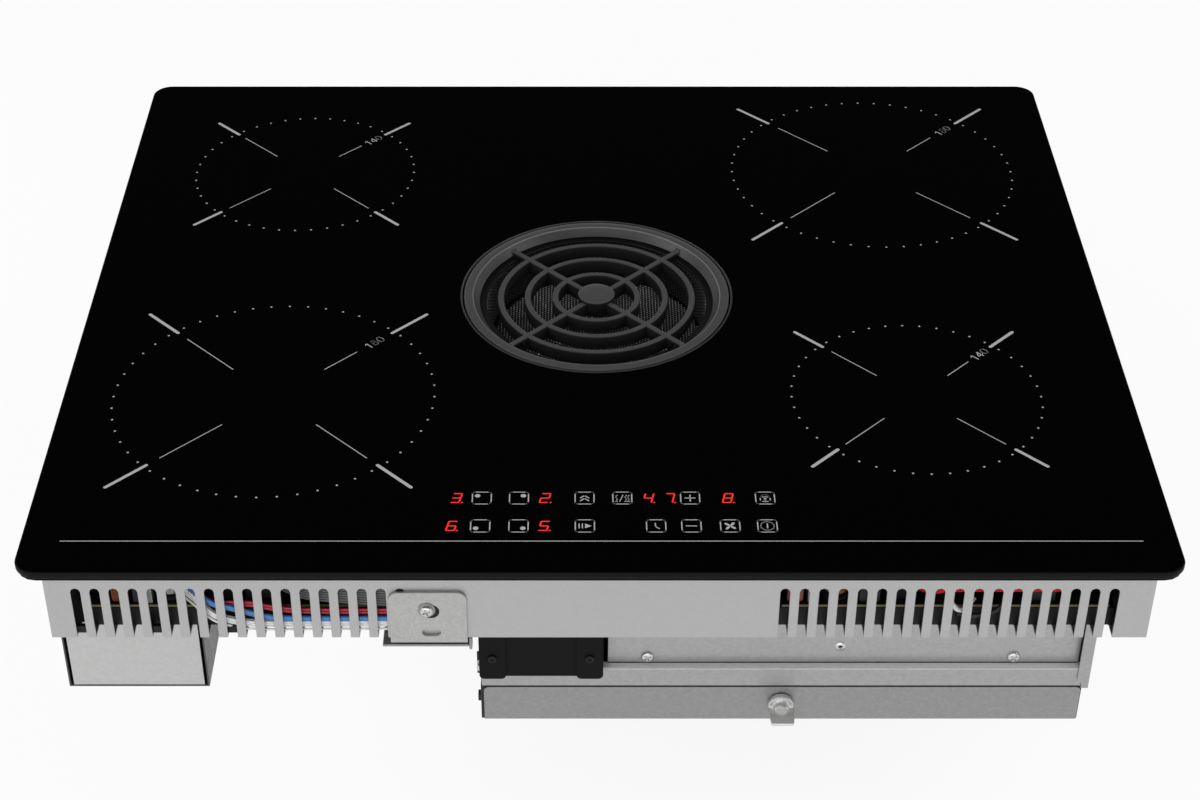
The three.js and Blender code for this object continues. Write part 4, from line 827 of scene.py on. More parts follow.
@dataclass
class Studio:
    """The pale floor, the lamps, the world and the camera."""

    lens: float = 69.35
    pitch: float = 36.5
    camera_at: Point = (-0.0126, -1.1473, 0.7738)
    shift: float = 0.0206
    world_level: float = 0.55
    floor_half: float = 6.0
    floor_gap: float = 0.086
    floor_tone: float = 0.94
    floor_white: float = 0.9
    ceiling_starts: float = 0.2
    ceiling_ends: float = 0.36
    ceiling_level: float = 0.012
    lamps: tuple[tuple[str, Point, Point, float, float], ...] = (
        ("front_softbox", (-0.3, -2.6, 0.6), (0, -0.25, -0.08), 3.2, 45.5),
        ("left_softbox", (-2.4, -0.6, 1.5), (0, 0, 0), 1.4, 22.0),
        ("right_softbox", (2.4, -0.4, 1.7), (0, 0, 0), 1.4, 16.0),
    )

    def build(self) -> None:
        """Builds the floor, world, lamps and camera."""
        self._floor(cad_bounds[0][2] - self.floor_gap)
        self._world()
        for name, at, towards, size, power in self.lamps:
            self._lamp(name, at, towards, size, power)
        self._camera()
        bpy.context.scene.view_settings.view_transform = "Standard"

    def _floor(self, height: float) -> None:
        """A wide pale floor below the lowered tray, which stays near white and keeps the object's soft shadow.

        Args:
            height: The floor's height.
        """
        half = self.floor_half
        floor = mesh_object(
            "floor",
            [(-half, -half, height), (half, -half, height), (half, half, height), (-half, half, height)],
            [(0, 1, 2, 3)],
        )
        material = bpy.data.materials.new("pale_floor")
        material.use_nodes = True
        tree = material.node_tree
        tree.nodes.clear()
        matt = add_node(tree, "BsdfDiffuse", {"Color": (*(self.floor_tone,) * 3, 1)})
        white = add_node(tree, "Emission")
        ray = add_node(tree, "LightPath")
        rays = {0: ray.outputs["Is Camera Ray"], 1: ray.outputs["Is Glossy Ray"]}
        seen = add_node(tree, "Math", rays, operation="MAXIMUM")
        share = add_node(tree, "Math", {0: seen.outputs[0], 1: self.floor_white}, operation="MULTIPLY")
        mix = add_node(tree, "MixShader", {0: share.outputs[0], 1: matt.outputs[0], 2: white.outputs[0]})
        add_node(tree, "OutputMaterial", {"Surface": mix.outputs[0]})
        floor.data.materials.append(material)

    def _world(self) -> None:
        """White where the camera looks; for reflections white low down and dark high up, as under a studio ceiling."""
        world = bpy.data.worlds.new("studio")
        bpy.context.scene.world = world
        world.use_nodes = True
        tree = world.node_tree
        tree.nodes.clear()
        up = add_node(tree, "SeparateXYZ", {0: add_node(tree, "TexCoord").outputs["Generated"]}).outputs["Z"]
        heights = {"From Min": self.ceiling_starts, "From Max": self.ceiling_ends, "Value": up}
        fade = add_node(tree, "MapRange", {**heights, "To Min": 1.0, "To Max": self.ceiling_level}).outputs[0]
        ray = add_node(tree, "LightPath").outputs
        glossy = add_node(tree, "Mix", {"Factor": ray["Is Glossy Ray"], "A": self.world_level, "B": fade})
        rays = {0: ray["Is Camera Ray"], 1: ray["Is Transmission Ray"]}
        seen = add_node(tree, "Math", rays, operation="MAXIMUM").outputs[0]
        strength = add_node(tree, "Mix", {"Factor": seen, "A": glossy.outputs["Result"], "B": 1.0})
        level = strength.outputs["Result"]
        background = add_node(tree, "Background", {"Color": (1, 1, 1, 1), "Strength": level})
        add_node(tree, "OutputWorld", {"Surface": background.outputs[0]})

    @staticmethod
    def _lamp(name: str, at: Point, towards: Point, size: float, power: float) -> None:
        """A square soft lamp.

        Args:
            name: The lamp's name.
            at: Where it stands.
            towards: Where it looks.
            size: Its side.
            power: Its power in watts.
        """
        light = bpy.data.lights.new(name, "AREA")
        light.size = size
        light.energy = power
        lamp = bpy.data.objects.new(name, light)
        bpy.context.scene.collection.objects.link(lamp)
        lamp.location = at
        lamp.rotation_euler = (Vector(towards) - Vector(at)).to_track_quat("-Z", "Y").to_euler()

    def _camera(self) -> None:
        """The camera at the photograph's angle."""
        data = bpy.data.cameras.new("camera")
        data.lens = self.lens
        data.sensor_width = 36.0
        data.shift_x = self.shift
        camera = bpy.data.objects.new("camera", data)
        bpy.context.scene.collection.objects.link(camera)
        camera.location = self.camera_at
        camera.rotation_euler = (math.radians(90 - self.pitch), 0, 0)
        bpy.context.scene.camera = camera


# ---------------------------------------------------------------- the glass and what is printed on it


@dataclass
class GlassTop(SubAssembly):
    """The black glass plate with its ground edge and the hole for the grille."""

    width: float = 0.6
    depth: float = 0.51
    thickness: float = 0.004
    corner: float = 0.012
    hole: float = 0.081
    chamfer: float = 0.0008

    def dress(self) -> None:
        """Builds the plate."""
        count = 4 * 17
        outer = outline_of(self.width, self.depth, self.corner, 16)
        start = math.atan2(outer[0][1], outer[0][0])
        inner = circle_of(self.hole, count, start)
        made = self._plate(outer, inner)
        painted(made, BLACK_GLASS, GROUND_EDGE)
        for face in made.data.polygons:
            flat = abs(face.normal.z) > 0.98
            face.material_index = 0 if flat else 1
            face.use_smooth = not flat
        self.put(made, BLACK_GLASS, "glass", replaces=["glass_top"])

    def _plate(self, outer: Sequence[Point2], inner: Sequence[Point2]) -> bpy.types.Object:
        """Lofts the plate round its section: out over the top, down the edge, in below and up the hole.

        Args:
            outer: The plate's outline.
            inner: The hole's outline, with as many points.

        Returns:
            The plate.
        """
        c, t = self.chamfer, self.thickness

        def grown(points: Sequence[Point2], by: float) -> list[Point2]:
            """The outline moved outwards by a distance."""
            made = []
            for index, (x, y) in enumerate(points):
                before, after = Vector(points[index - 1]), Vector(points[(index + 1) % len(points)])
                along = after - before
                outward = Vector((along.y, -along.x)).normalized()
                made.append((x + outward.x * by, y + outward.y * by))
            return made

        section = [
            (outer, -c, t), (outer, -c * 0.3, t - c * 0.3), (outer, 0.0, t - c),
            (outer, 0.0, c), (outer, -c * 0.3, c * 0.3), (outer, -c, 0.0),
            (inner, c, 0.0), (inner, 0.0, c * 0.6), (inner, 0.0, t - c * 0.6), (inner, c * 0.6, t),
        ]
        loops = [[(x, y, z) for x, y in grown(points, by)] for points, by, z in section]
        return lofted("glass_plate", loops, closed=True)


@dataclass(frozen=True)
class CookingZone:
    """One cooking zone's place and size, in millimetres.

    Attributes:
        name: Its name.
        x: Its middle along X.
        y: Its middle along Y.
        radius: Radius of its dotted ring.
        dots: How many dots the ring has.
    """

    name: str
    x: float
    y: float
    radius: float
    dots: int


class Ink:
    """Collects flat printed shapes on the glass, in millimetres, and makes one thin mesh of them."""

    def __init__(self, height: float) -> None:
        """Starts with nothing drawn.

        Args:
            height: Height of the print's upper face, in millimetres.
        """
        self.height = height
        self.points: list[Point] = []
        self.faces: list[tuple[int, ...]] = []

    def polygon(self, outline: Sequence[Point2]) -> None:
        """Draws a filled convex outline."""
        first = len(self.points)
        self.points += [(x * MM, y * MM, self.height * MM) for x, y in outline]
        self.faces.append(tuple(range(first, first + len(outline))))

    def dot(self, x: float, y: float, radius: float, count: int = 16) -> None:
        """Draws a filled round dot."""
        self.polygon([(x + dx, y + dy) for dx, dy in circle_of(radius, count)])

    def stroke(self, path: Sequence[Point2], width: float, closed: bool = False) -> None:
        """Draws a line of even width, as one piece for each straight stretch with round joints.

        Args:
            path: The line's points.
            width: Its width.
            closed: Whether its last point joins its first.
        """
        ends = list(path) + ([path[0]] if closed else [])
        for (x0, y0), (x1, y1) in zip(ends, ends[1:]):
            angle = math.atan2(y1 - y0, x1 - x0)
            cap = [angle + math.pi / 2 + math.pi * i / 6 for i in range(7)]
            start = [(x0 + width / 2 * math.cos(a), y0 + width / 2 * math.sin(a)) for a in cap]
            end = [(x1 - width / 2 * math.cos(a), y1 - width / 2 * math.sin(a)) for a in cap]
            self.polygon(start + end)

    def arc(self, x: float, y: float, radius: float, start: float, end: float, width: float, count: int = 24) -> None:
        """Draws part of a ring between two angles in degrees."""
        steps = max(3, round(count * abs(end - start) / 360))
        angles = [math.radians(start + (end - start) * i / steps) for i in range(steps + 1)]
        self.stroke([(x + radius * math.cos(a), y + radius * math.sin(a)) for a in angles], width)

    def mesh(self, name: str) -> bpy.types.Object:
        """Makes the object, with every shape facing up.

        Args:
            name: The object's name.

        Returns:
            The print's mesh object.
        """
        made = mesh_object(name, self.points, self.faces)
        work = bmesh.new()
        work.from_mesh(made.data)
        for face in work.faces:
            if face.normal.z < 0:
                face.normal_flip()
        work.to_mesh(made.data)
        work.free()
        return made


SEGMENTS: dict[str, str] = {
    "1": "bc", "2": "abged", "3": "abgcd", "4": "fgbc", "5": "afgcd", "6": "afgedc", "7": "abc", "8": "abcdefg",
}

NUMERALS: dict[str, tuple[tuple[Point2, ...], ...]] = {
    "1": (((0.15, 0.78), (0.42, 1.0), (0.42, 0.0)),),
    "4": (((0.5, 0.0), (0.5, 1.0), (0.0, 0.28), (0.7, 0.28)),),
    "8": (
        tuple((0.35 + 0.24 * math.cos(a), 0.76 + 0.22 * math.sin(a)) for a in [math.tau * i / 14 for i in range(15)]),
        tuple((0.35 + 0.3 * math.cos(a), 0.27 + 0.27 * math.sin(a)) for a in [math.tau * i / 14 for i in range(15)]),
    ),
    "0": (tuple((0.35 + 0.32 * math.cos(a), 0.5 + 0.5 * math.sin(a)) for a in [math.tau * i / 18 for i in range(19)]),),
}


@dataclass
class PrintedMarks(SubAssembly):
    """The grey rings, arms, numbers, keys and line on the glass, and the red digits under it, in millimetres."""

    glass_top: float = 4.0
    lift: float = 0.05
    zones: tuple[CookingZone, ...] = (
        CookingZone("rear_left", -186.8, 140.1, 70, 44),
        CookingZone("front_left", -181.6, -103.8, 90, 52),
        CookingZone("rear_right", 178.6, 141.0, 90, 52),
        CookingZone("front_right", 178.7, -103.9, 70, 44),
    )
    thin: float = 0.55
    thick: float = 2.0
    dot_radius: float = 0.62
    arm_start: float = 0.41
    arm_end: float = 0.88
    arm_by_number: float = 0.68
    bar_start: float = 0.98
    bar_end: float = 1.28
    number_place: float = 0.83
    number_height: float = 5.2
    key_size: float = 10.0
    key_line: float = 0.62
    row_back: float = -194.3
    row_front: float = -217.4
    line_y: float = -229.7
    line_ends: Point2 = (-279.0, 281.0)
    digit_height: float = 7.4
    digit_width: float = 4.4
    digit_slant: float = 0.2
    digits: tuple[tuple[str, float, bool], ...] = (
        ("3", -74.8, True), ("2", -27.9, True), ("4", 26.8, True), ("7", 37.9, True), ("8", 68.9, True),
        ("6", -76.4, False), ("5", -28.2, False),
    )

    def dress(self) -> None:
        """Draws each zone, the key field and the digits."""
        for zone in self.zones:
            ink = Ink(self.glass_top + self.lift)
            self._zone(ink, zone)
            self.put(ink.mesh(f"zone_print_{zone.name}"), PRINT_GREY, "glass")
        ink = Ink(self.glass_top + self.lift)
        ink.stroke([(self.line_ends[0], self.line_y), (self.line_ends[1], self.line_y)], 0.6)
        self._keys(ink)
        self.put(ink.mesh("key_print"), PRINT_GREY, "glass")
        ink = Ink(self.glass_top + self.lift)
        for digit, x, back in self.digits:
            self._digit(ink, digit, x, self.row_back if back else self.row_front)
        self.put(ink.mesh("red_digits"), RED_DIGIT, "glass")

    def _zone(self, ink: Ink, zone: CookingZone) -> None:
        """Draws one zone: its dotted ring, four arms and number.

        Args:
            ink: What it is drawn with.
            zone: The zone.
        """
        r = zone.radius

        def at(turn: int, share: float) -> Point2:
            """A place on an arm, as a share of the ring's radius."""
            angle = math.pi / 4 + turn * math.pi / 2
            return (zone.x + math.cos(angle) * r * share, zone.y + math.sin(angle) * r * share)

        for dx, dy in circle_of(r, zone.dots, math.pi / 2):
            ink.dot(zone.x + dx, zone.y + dy, self.dot_radius)
        for turn in range(4):
            end = self.arm_by_number if turn == 0 else self.arm_end
            ink.stroke([at(turn, self.arm_start), at(turn, end)], self.thin)
            ink.stroke([at(turn, self.bar_start), at(turn, self.bar_end)], self.thick)
        self._numerals(ink, str(round(2 * r)), *at(0, self.number_place), self.number_height, 45.0)

    @staticmethod
    def _numerals(ink: Ink, text: str, x: float, y: float, height: float, degrees: float) -> None:
        """Draws plain numerals centred on a place.

        Args:
            ink: What they are drawn with.
            text: The numerals.
            x: Their middle along X.
            y: Their middle along Y.
            height: Their height.
            degrees: How far their base line is turned.
        """
        pitch = 0.86
        c, s = math.cos(math.radians(degrees)), math.sin(math.radians(degrees))
        for index, letter in enumerate(text):
            left = (index - len(text) / 2) * pitch
            for path in NUMERALS[letter]:
                spots = [((left + u + 0.05) * height, (v - 0.5) * height) for u, v in path]
                ink.stroke([(x + u * c - v * s, y + u * s + v * c) for u, v in spots], 0.62)

    def _digit(self, ink: Ink, digit: str, x: float, y: float) -> None:
        """Draws one slanted seven-segment digit with its point.

        Args:
            ink: What it is drawn with.
            digit: The digit.
            x: Its middle along X.
            y: Its middle along Y.
        """
        w, h, gap = self.digit_width, self.digit_height, 0.35
        ends = {
            "a": ((0, h), (w, h)), "b": ((w, h), (w, h / 2)), "c": ((w, h / 2), (w, 0)), "d": ((w, 0), (0, 0)),
            "e": ((0, 0), (0, h / 2)), "f": ((0, h / 2), (0, h)), "g": ((0, h / 2), (w, h / 2)),
        }

        def slanted(u: float, v: float) -> Point2:
            """A point of the upright digit, slanted and in its place."""
            return (x - w / 2 - 0.7 + u + (v - h / 2) * self.digit_slant, y - h / 2 + v)

        for key in SEGMENTS[digit]:
            (u0, v0), (u1, v1) = ends[key]
            length = math.hypot(u1 - u0, v1 - v0)
            du, dv = (u1 - u0) / length * gap, (v1 - v0) / length * gap
            ink.stroke([slanted(u0 + du, v0 + dv), slanted(u1 - du, v1 - dv)], 0.85)
        ink.dot(*slanted(w + 1.5, 0.0), 0.55, 10)

    def _keys(self, ink: Ink) -> None:
        """Draws every key's frame with its sign.

        Args:
            ink: What they are drawn with.
        """
        back, front = self.row_back, self.row_front
        dots = ((-62.1, back, -1, 1), (-42.4, back, 1, 1), (-62.2, front, -1, -1), (-42.2, front, 1, -1))
        for x, y, sx, sy in dots:
            self._frame(ink, x, y)
            ink.dot(x + sx * 2.3, y + sy * 1.9, 1.45, 20)
        signs: tuple[tuple[float, float, Callable[[Ink, float, float], None]], ...] = (
            (-7.7, back, self._sign_full_power), (12.3, back, self._sign_keep_warm), (48.2, back, self._sign_plus),
            (87.9, back, self._sign_lock), (-7.6, front, self._sign_pause), (29.6, front, self._sign_clock),
            (48.0, front, self._sign_minus), (68.2, front, self._sign_fan), (87.6, front, self._sign_power),
        )
        for x, y, draw in signs:
            self._frame(ink, x, y)
            draw(ink, x, y)

    def _frame(self, ink: Ink, x: float, y: float) -> None:
        """Draws a key's rounded frame."""
        points = outline_of(self.key_size, self.key_size, 1.4, 4)
        ink.stroke([(x + u, y + v) for u, v in points], self.key_line, closed=True)

    @staticmethod
    def _sign_full_power(ink: Ink, x: float, y: float) -> None:
        """Two chevrons that point away from the user, for full power."""
        for step in (-1.3, 1.1):
            ink.stroke([(x - 2.2, y + step - 1.0), (x, y + step + 1.0), (x + 2.2, y + step - 1.0)], 0.7)

    @staticmethod
    def _sign_keep_warm(ink: Ink, x: float, y: float) -> None:
        """One and two wavy lines with a stroke between them, for the two warming levels.

        Args:
            ink: What it is drawn with.
            x: The middle of its key along X.
            y: The middle of its key along Y.
        """
        for dx in (-3.1, 1.8, 3.2):
            wave = [(x + dx + 0.5 * math.sin(i * math.pi / 3), y - 1.9 + i * 0.6) for i in range(8)]
            ink.stroke(wave, 0.5)
            ink.stroke([(x + dx - 0.6, y - 2.9), (x + dx + 0.6, y - 2.9)], 0.45)
        ink.stroke([(x - 1.4, y - 2.8), (x + 0.4, y + 2.6)], 0.45)

    @staticmethod
    def _sign_plus(ink: Ink, x: float, y: float) -> None:
        """A plus sign."""
        ink.stroke([(x - 2.7, y), (x + 2.7, y)], 0.65)
        ink.stroke([(x, y - 2.7), (x, y + 2.7)], 0.65)

    @staticmethod
    def _sign_minus(ink: Ink, x: float, y: float) -> None:
        """A minus sign."""
        ink.stroke([(x - 2.7, y), (x + 2.7, y)], 0.65)

    @staticmethod
    def _sign_lock(ink: Ink, x: float, y: float) -> None:
        """A padlock.

        Args:
            ink: What it is drawn with.
            x: The middle of its key along X.
            y: The middle of its key along Y.
        """
        body = outline_of(5.2, 3.8, 0.7, 3)
        ink.stroke([(x + u, y - 1.0 + v) for u, v in body], 0.6, closed=True)
        ink.arc(x, y + 0.9, 2.1, 0, 180, 0.6)
        ink.dot(x, y - 0.7, 0.75, 12)
        ink.stroke([(x, y - 0.8), (x, y - 1.9)], 0.5)

    @staticmethod
    def _sign_pause(ink: Ink, x: float, y: float) -> None:
        """Two bars and an arrow head, for pause and go on."""
        for dx in (-3.0, -1.3):
            ink.stroke([(x + dx, y - 1.7), (x + dx, y + 1.7)], 0.6)
        ink.polygon([(x + 0.1, y - 1.9), (x + 3.5, y), (x + 0.1, y + 1.9)])

    @staticmethod
    def _sign_clock(ink: Ink, x: float, y: float) -> None:
        """The two hands of a clock."""
        ink.stroke([(x - 0.4, y + 2.2), (x - 0.4, y - 0.6), (x + 1.6, y - 2.2)], 0.6)

    @staticmethod
    def _sign_fan(ink: Ink, x: float, y: float) -> None:
        """A fan with four curved blades.

        Args:
            ink: What it is drawn with.
            x: The middle of its key along X.
            y: The middle of its key along Y.
        """
        for turn in range(4):
            a = math.radians(35 + 90 * turn)
            c, s = math.cos(a), math.sin(a)
            blade = [(0.2, -0.2), (1.8, -0.35), (3.3, 0.3), (3.5, 1.2), (2.4, 1.5), (1.0, 0.9), (0.0, 0.3)]
            ink.polygon([(x + u * c - v * s, y + u * s + v * c) for u, v in blade])

    @staticmethod
    def _sign_power(ink: Ink, x: float, y: float) -> None:
        """A ring round an upright stroke."""
        ink.arc(x, y, 3.5, 0, 360, 0.6, 28)
        ink.stroke([(x, y - 1.7), (x, y + 1.7)], 0.7)
# ---------------------------------------------------------------- the grille and the filter below it


@dataclass
class Grille(SubAssembly):
    """The enamelled round grille, flush in the glass: a flat rim, a sloping wall, three rings, spokes and a hub."""

    body: Body = Body.GRILLE
    top: float = 0.0044
    lip_radius: float = 0.079
    lip: float = 0.0022
    bore: float = 0.0733
    wall: float = 0.0024
    foot: float = -0.0005
    taper: float = 0.0038
    rings: tuple[float, ...] = (0.059, 0.043, 0.0265)
    bar_width: float = 0.004
    bar_top: float = 0.0018
    bar_height: float = 0.008
    spoke_step: float = 0.0626
    hub: float = 0.011
    hub_top: float = 0.004
    flat: float = 0.86

    def dress(self) -> None:
        """Builds the rim, rings, spokes and hub as one enamelled piece."""
        parts = [self._rim(), *(self._ring(radius) for radius in self.rings)]
        parts += [self._spoke(turn) for turn in range(4)]
        parts.append(self._hub())
        made = joined("grille_casting", parts)
        smooth_by_angle(made, 50)
        self._shade(made)
        self.put(made, GRILLE_ENAMEL, "grille_grey", replaces=["grille"])
        # The hole trim reuses the wall's painted-shade enamel.
        self.put(self._hole_trim(), SHADED_GRILLE_WALL, "rubber", Body.COOKTOP)

    @staticmethod
    def _hole_trim() -> bpy.types.Object:
        """The thin grey trim that lines the hole in the glass round the grille.

        Returns:
            The trim.
        """
        profile = [
            (0.0800, 0.0012), (0.08095, 0.0012), (0.08095, 0.0041), (0.0807, 0.0043), (0.0802, 0.0043),
            (0.0800, 0.0041),
        ]
        made = turned("hole_trim", profile, count=160)
        smooth_by_angle(made, 40)
        return made

    def _shade(self, made: bpy.types.Object) -> None:
        """Paints light and shade by face: the tops keep the satin enamel, the sloping wall gets a duller, darker enamel
        as painted shade, the bars' sides a near-black painted shade and the rim's inner edge a pale painted highlight.

        Args:
            made: The whole grille.
        """
        painted(made, GRILLE_ENAMEL, SHADED_GRILLE_WALL, PAINTED_SHADE_DARK, PAINTED_HIGHLIGHT_EDGE)
        inner = self.bore - self.taper - 0.0002
        for face in made.data.polygons:
            out = math.hypot(face.center.x, face.center.y)
            # Index 3 is the painted highlight on the rim's inner edge; 1 and 2 are painted shade on the wall and the
            # bars' sides.
            if self.bore - 0.0002 < out < self.bore + 0.0007 and face.center.z > self.top - 0.0006:
                face.material_index = 3
            elif face.normal.z <= self.flat:
                face.material_index = 1 if out > inner else 2

    def _rim(self) -> bpy.types.Object:
        """The flat rim with its rounded edges and the wall that slopes in below it.

        Returns:
            The rim and wall.
        """
        top, under, out, bore = self.top, self.top - self.lip, self.lip_radius, self.bore
        low, inner = self.foot, self.bore - self.taper
        profile = [
            (out - 0.0003, under), (out, under + 0.0003), (out, top - 0.0006), (out - 0.0002, top - 0.0002),
            (out - 0.0006, top), (bore + 0.0006, top), (bore + 0.0002, top - 0.0001), (bore, top - 0.0005),
            (inner + 0.0006, low + 0.0010), (inner + 0.0001, low + 0.0004), (inner + 0.0004, low),
            (inner + self.wall, low), (bore + self.wall, under - 0.0006), (bore + self.wall, under),
        ]
        return turned("rim", profile, count=160)

    def _section(self, top: float, bottom: float) -> list[Point2]:
        """The bars' section, as (across, height): upright, a little narrower below, with a softened top.

        Args:
            top: Height of the bar's top.
            bottom: Height of its underside.

        Returns:
            The section's points.
        """
        half, soft = self.bar_width / 2, 0.0006
        turns = (0.0, 0.4, 0.8, 1.2, math.pi / 2)
        corner = [(half - soft + soft * math.cos(a), top - soft + soft * math.sin(a)) for a in turns]
        return [(half * 0.82, bottom), *corner, *((-u, v) for u, v in reversed(corner)), (-half * 0.82, bottom)]

    def _ring(self, radius: float) -> bpy.types.Object:
        """One ring of the grille.

        Args:
            radius: Its outer radius.

        Returns:
            The ring.
        """
        section = self._section(self.bar_top, self.bar_top - self.bar_height)
        return turned("ring", [(radius - self.bar_width / 2 + u, v) for u, v in section], count=128)

    def _spoke(self, turn: int) -> bpy.types.Object:
        """One spoke, with a fillet where it meets the wall and a step that clears the filter.

        Args:
            turn: Which of the four spokes.

        Returns:
            The spoke.
        """
        angle = math.pi / 4 + turn * math.pi / 2
        along, across = Vector((math.cos(angle), math.sin(angle), 0)), Vector((-math.sin(angle), math.cos(angle), 0))
        top, low = self.bar_top + 0.00004, self.bar_top - self.bar_height - 0.00004
        step, reach = self.spoke_step, self.bore - self.taper * 0.45
        stops = (
            (self.hub * 0.6, top, low), (self.rings[2], top, low), (self.rings[1], top, low), (self.rings[0], top, low),
            (step - 0.0002, top, low), (step, top, self.foot), (reach - 0.0022, top, self.foot),
            (reach - 0.0008, top + 0.0003, self.foot), (reach, top + 0.0011, self.foot),
        )
        loops = [
            [tuple(along * r + across * u + Vector((0, 0, v))) for u, v in self._section(high, base)]
            for r, high, base in stops
        ]
        return lofted("spoke", loops)

    def _hub(self) -> bpy.types.Object:
        """The flat disc in the middle, raised above the rings.

        Returns:
            The hub.
        """
        top, r, low = self.hub_top, self.hub, self.bar_top - self.bar_height
        profile = [
            (0.00002, low), (r * 0.9, low), (r - 0.0003, top - 0.0016), (r, top - 0.0008), (r - 0.0002, top - 0.0002),
            (r - 0.0007, top), (r * 0.5, top + 0.00005), (0.00002, top + 0.00005),
        ]
        return turned("hub", profile, count=56)


@dataclass
class GreaseFilter(SubAssembly):
    """The filter cup under the grille: fine perforated sheet, near black above, partly its own dark sheet and partly
    painted shade under the grille, with pale bare metal in its holes that also stands in as painted glints, and a plain
    rim.
    """

    body: Body = Body.FILTER
    top: float = -0.0008
    rim_radius: float = 0.0715
    rim_height: float = 0.0015
    cup_radius: float = 0.0662
    floor_height: float = -0.0268
    draft: float = 0.002
    pitch: float = 0.00205
    hole: float = 0.00078
    sheet: float = 0.0008
    crown: float = 0.00046

    def dress(self) -> None:
        """Builds the rim, the perforated wall and the perforated floor as one piece."""
        parts = [self._rim(), self._wall(), self._floor()]
        made = joined("filter_cup", parts)
        smooth_by_angle(made, 30)
        self.put(made, SHADED_FILTER_BLACK, "filter_metal", replaces=["grease_filter"])
        self.put(self._crowns(), FILTER_GLINT, "filter_metal")

    def _rim(self) -> bpy.types.Object:
        """The rolled rim that hangs on the well's ledge.

        Returns:
            The rim.
        """
        r0, r1, top, low = self.cup_radius - 0.0006, self.rim_radius, self.top, self.top - self.rim_height
        profile = [
            (r0, top - 0.0004), (r0 + 0.0004, top), (r1 - 0.0005, top), (r1, top - 0.0005), (r1, low + 0.0003),
            (r1 - 0.0004, low), (r0 + 0.0006, low), (r0, low - 0.001),
        ]
        made = turned("filter_rim", profile, count=144)
        painted(made, SHADED_FILTER_BLACK)
        return made

    def _cells(
        self, name: str, spots: Sequence[Point2], place: Callable[[float, float], Point]
    ) -> bpy.types.Object:
        """Perforated sheet: one six-sided cell with a round hole for each spot, mapped onto the real form.

        Args:
            name: The object's name.
            spots: The cells' middles on the flat sheet.
            place: Maps a flat point to its real place.

        Returns:
            The sheet, with its thickness.
        """
        points: list[Point] = []
        faces: list[tuple[int, ...]] = []
        reach = self.pitch / math.sqrt(3)
        for u, v in spots:
            first = len(points)
            for radius in (reach, self.hole):
                points += [place(u + x, v + y) for x, y in circle_of(radius, 6)]
            faces += [(first + i, first + (i + 1) % 6, first + 6 + (i + 1) % 6, first + 6 + i) for i in range(6)]
        made = mesh_object(name, points, faces)
        painted(made, SHADED_FILTER_BLACK, HOLE_EDGE_PAINTED_GLINT)
        tidy_normals(made, 0.00002)
        solid = made.modifiers.new("sheet", "SOLIDIFY")
        solid.thickness = self.sheet
        solid.offset = 0
        # The holes' rims take the pale finish: bare cut metal made pale as painted glints.
        solid.material_offset_rim = 1
        return applied(made)

    def _floor_spots(self, limit: float) -> list[Point2]:
        """The middles of the floor's cells inside a radius, in columns.

        Args:
            limit: The radius.

        Returns:
            The middles.
        """
        step = self.pitch * math.sqrt(3) / 2
        span = range(-int(self.cup_radius / step) - 1, int(self.cup_radius / step) + 2)
        spots = [(column * step, (row + 0.5 * (column % 2)) * self.pitch) for column in span for row in span]
        return [(u, v) for u, v in spots if math.hypot(u, v) < limit]

    def _crowns(self) -> bpy.types.Object:
        """The small bright crowns that the punch leaves on the floor, one beside each hole.

        Returns:
            All crowns as one piece.
        """
        base = self.floor_height + self.sheet
        points: list[Point] = []
        faces: list[tuple[int, ...]] = []
        for u, y in self._floor_spots(self.cup_radius - self.draft - self.pitch * 1.6):
            x, first = u + self.pitch / math.sqrt(3), len(points)
            for radius, rise in ((self.crown, -0.00005), (self.crown * 0.72, self.crown * 0.55)):
                points += [(x + a, y + b, base + rise) for a, b in circle_of(radius, 6)]
            points.append((x, y, base + self.crown * 0.85))
            faces += [(first + i, first + (i + 1) % 6, first + 6 + (i + 1) % 6, first + 6 + i) for i in range(6)]
            faces += [(first + 6 + i, first + 6 + (i + 1) % 6, first + 12) for i in range(6)]
        made = mesh_object("filter_crowns", points, faces)
        smooth_by_angle(made, 180)
        return made

    def _floor(self) -> bpy.types.Object:
        """The perforated floor with its plain edge.

        Returns:
            The floor.
        """
        radius = self.cup_radius - self.draft
        limit = radius - self.pitch * 0.9
        low, high = self.floor_height, self.floor_height + self.sheet
        holes = self._cells("filter_floor", self._floor_spots(limit), lambda u, v: (u, v, low + self.sheet / 2))
        profile = [(limit - 0.0012, low), (radius, low), (radius, high), (limit - 0.0012, high)]
        edge = turned("filter_floor_edge", profile, count=120)
        painted(edge, SHADED_FILTER_BLACK)
        return joined("filter_floor", [holes, edge])

    def _wall(self) -> bpy.types.Object:
        """The perforated wall, which draws in slightly towards the floor.

        Returns:
            The wall.
        """
        height = self.top - self.rim_height - self.floor_height
        around = math.tau * self.cup_radius
        step = self.pitch * math.sqrt(3) / 2
        columns = 2 * round(around / step / 2)
        rows = int(height / self.pitch)
        wide, tall = around / columns, height / rows
        spots = [(c * wide, (r + 0.5 * (c % 2) + 0.25) * tall) for c in range(columns) for r in range(rows)]

        def place(u: float, v: float) -> Point:
            """Rolls a flat point up into the tapered wall."""
            share = min(max(v / height, 0.0), 1.0)
            radius = self.cup_radius - self.draft * (1 - share) - self.sheet / 2
            angle = u / self.cup_radius
            return (radius * math.cos(angle), radius * math.sin(angle), self.floor_height + share * height)

        return self._cells("filter_wall", spots, place)


# ---------------------------------------------------------------- what shows through the front slots


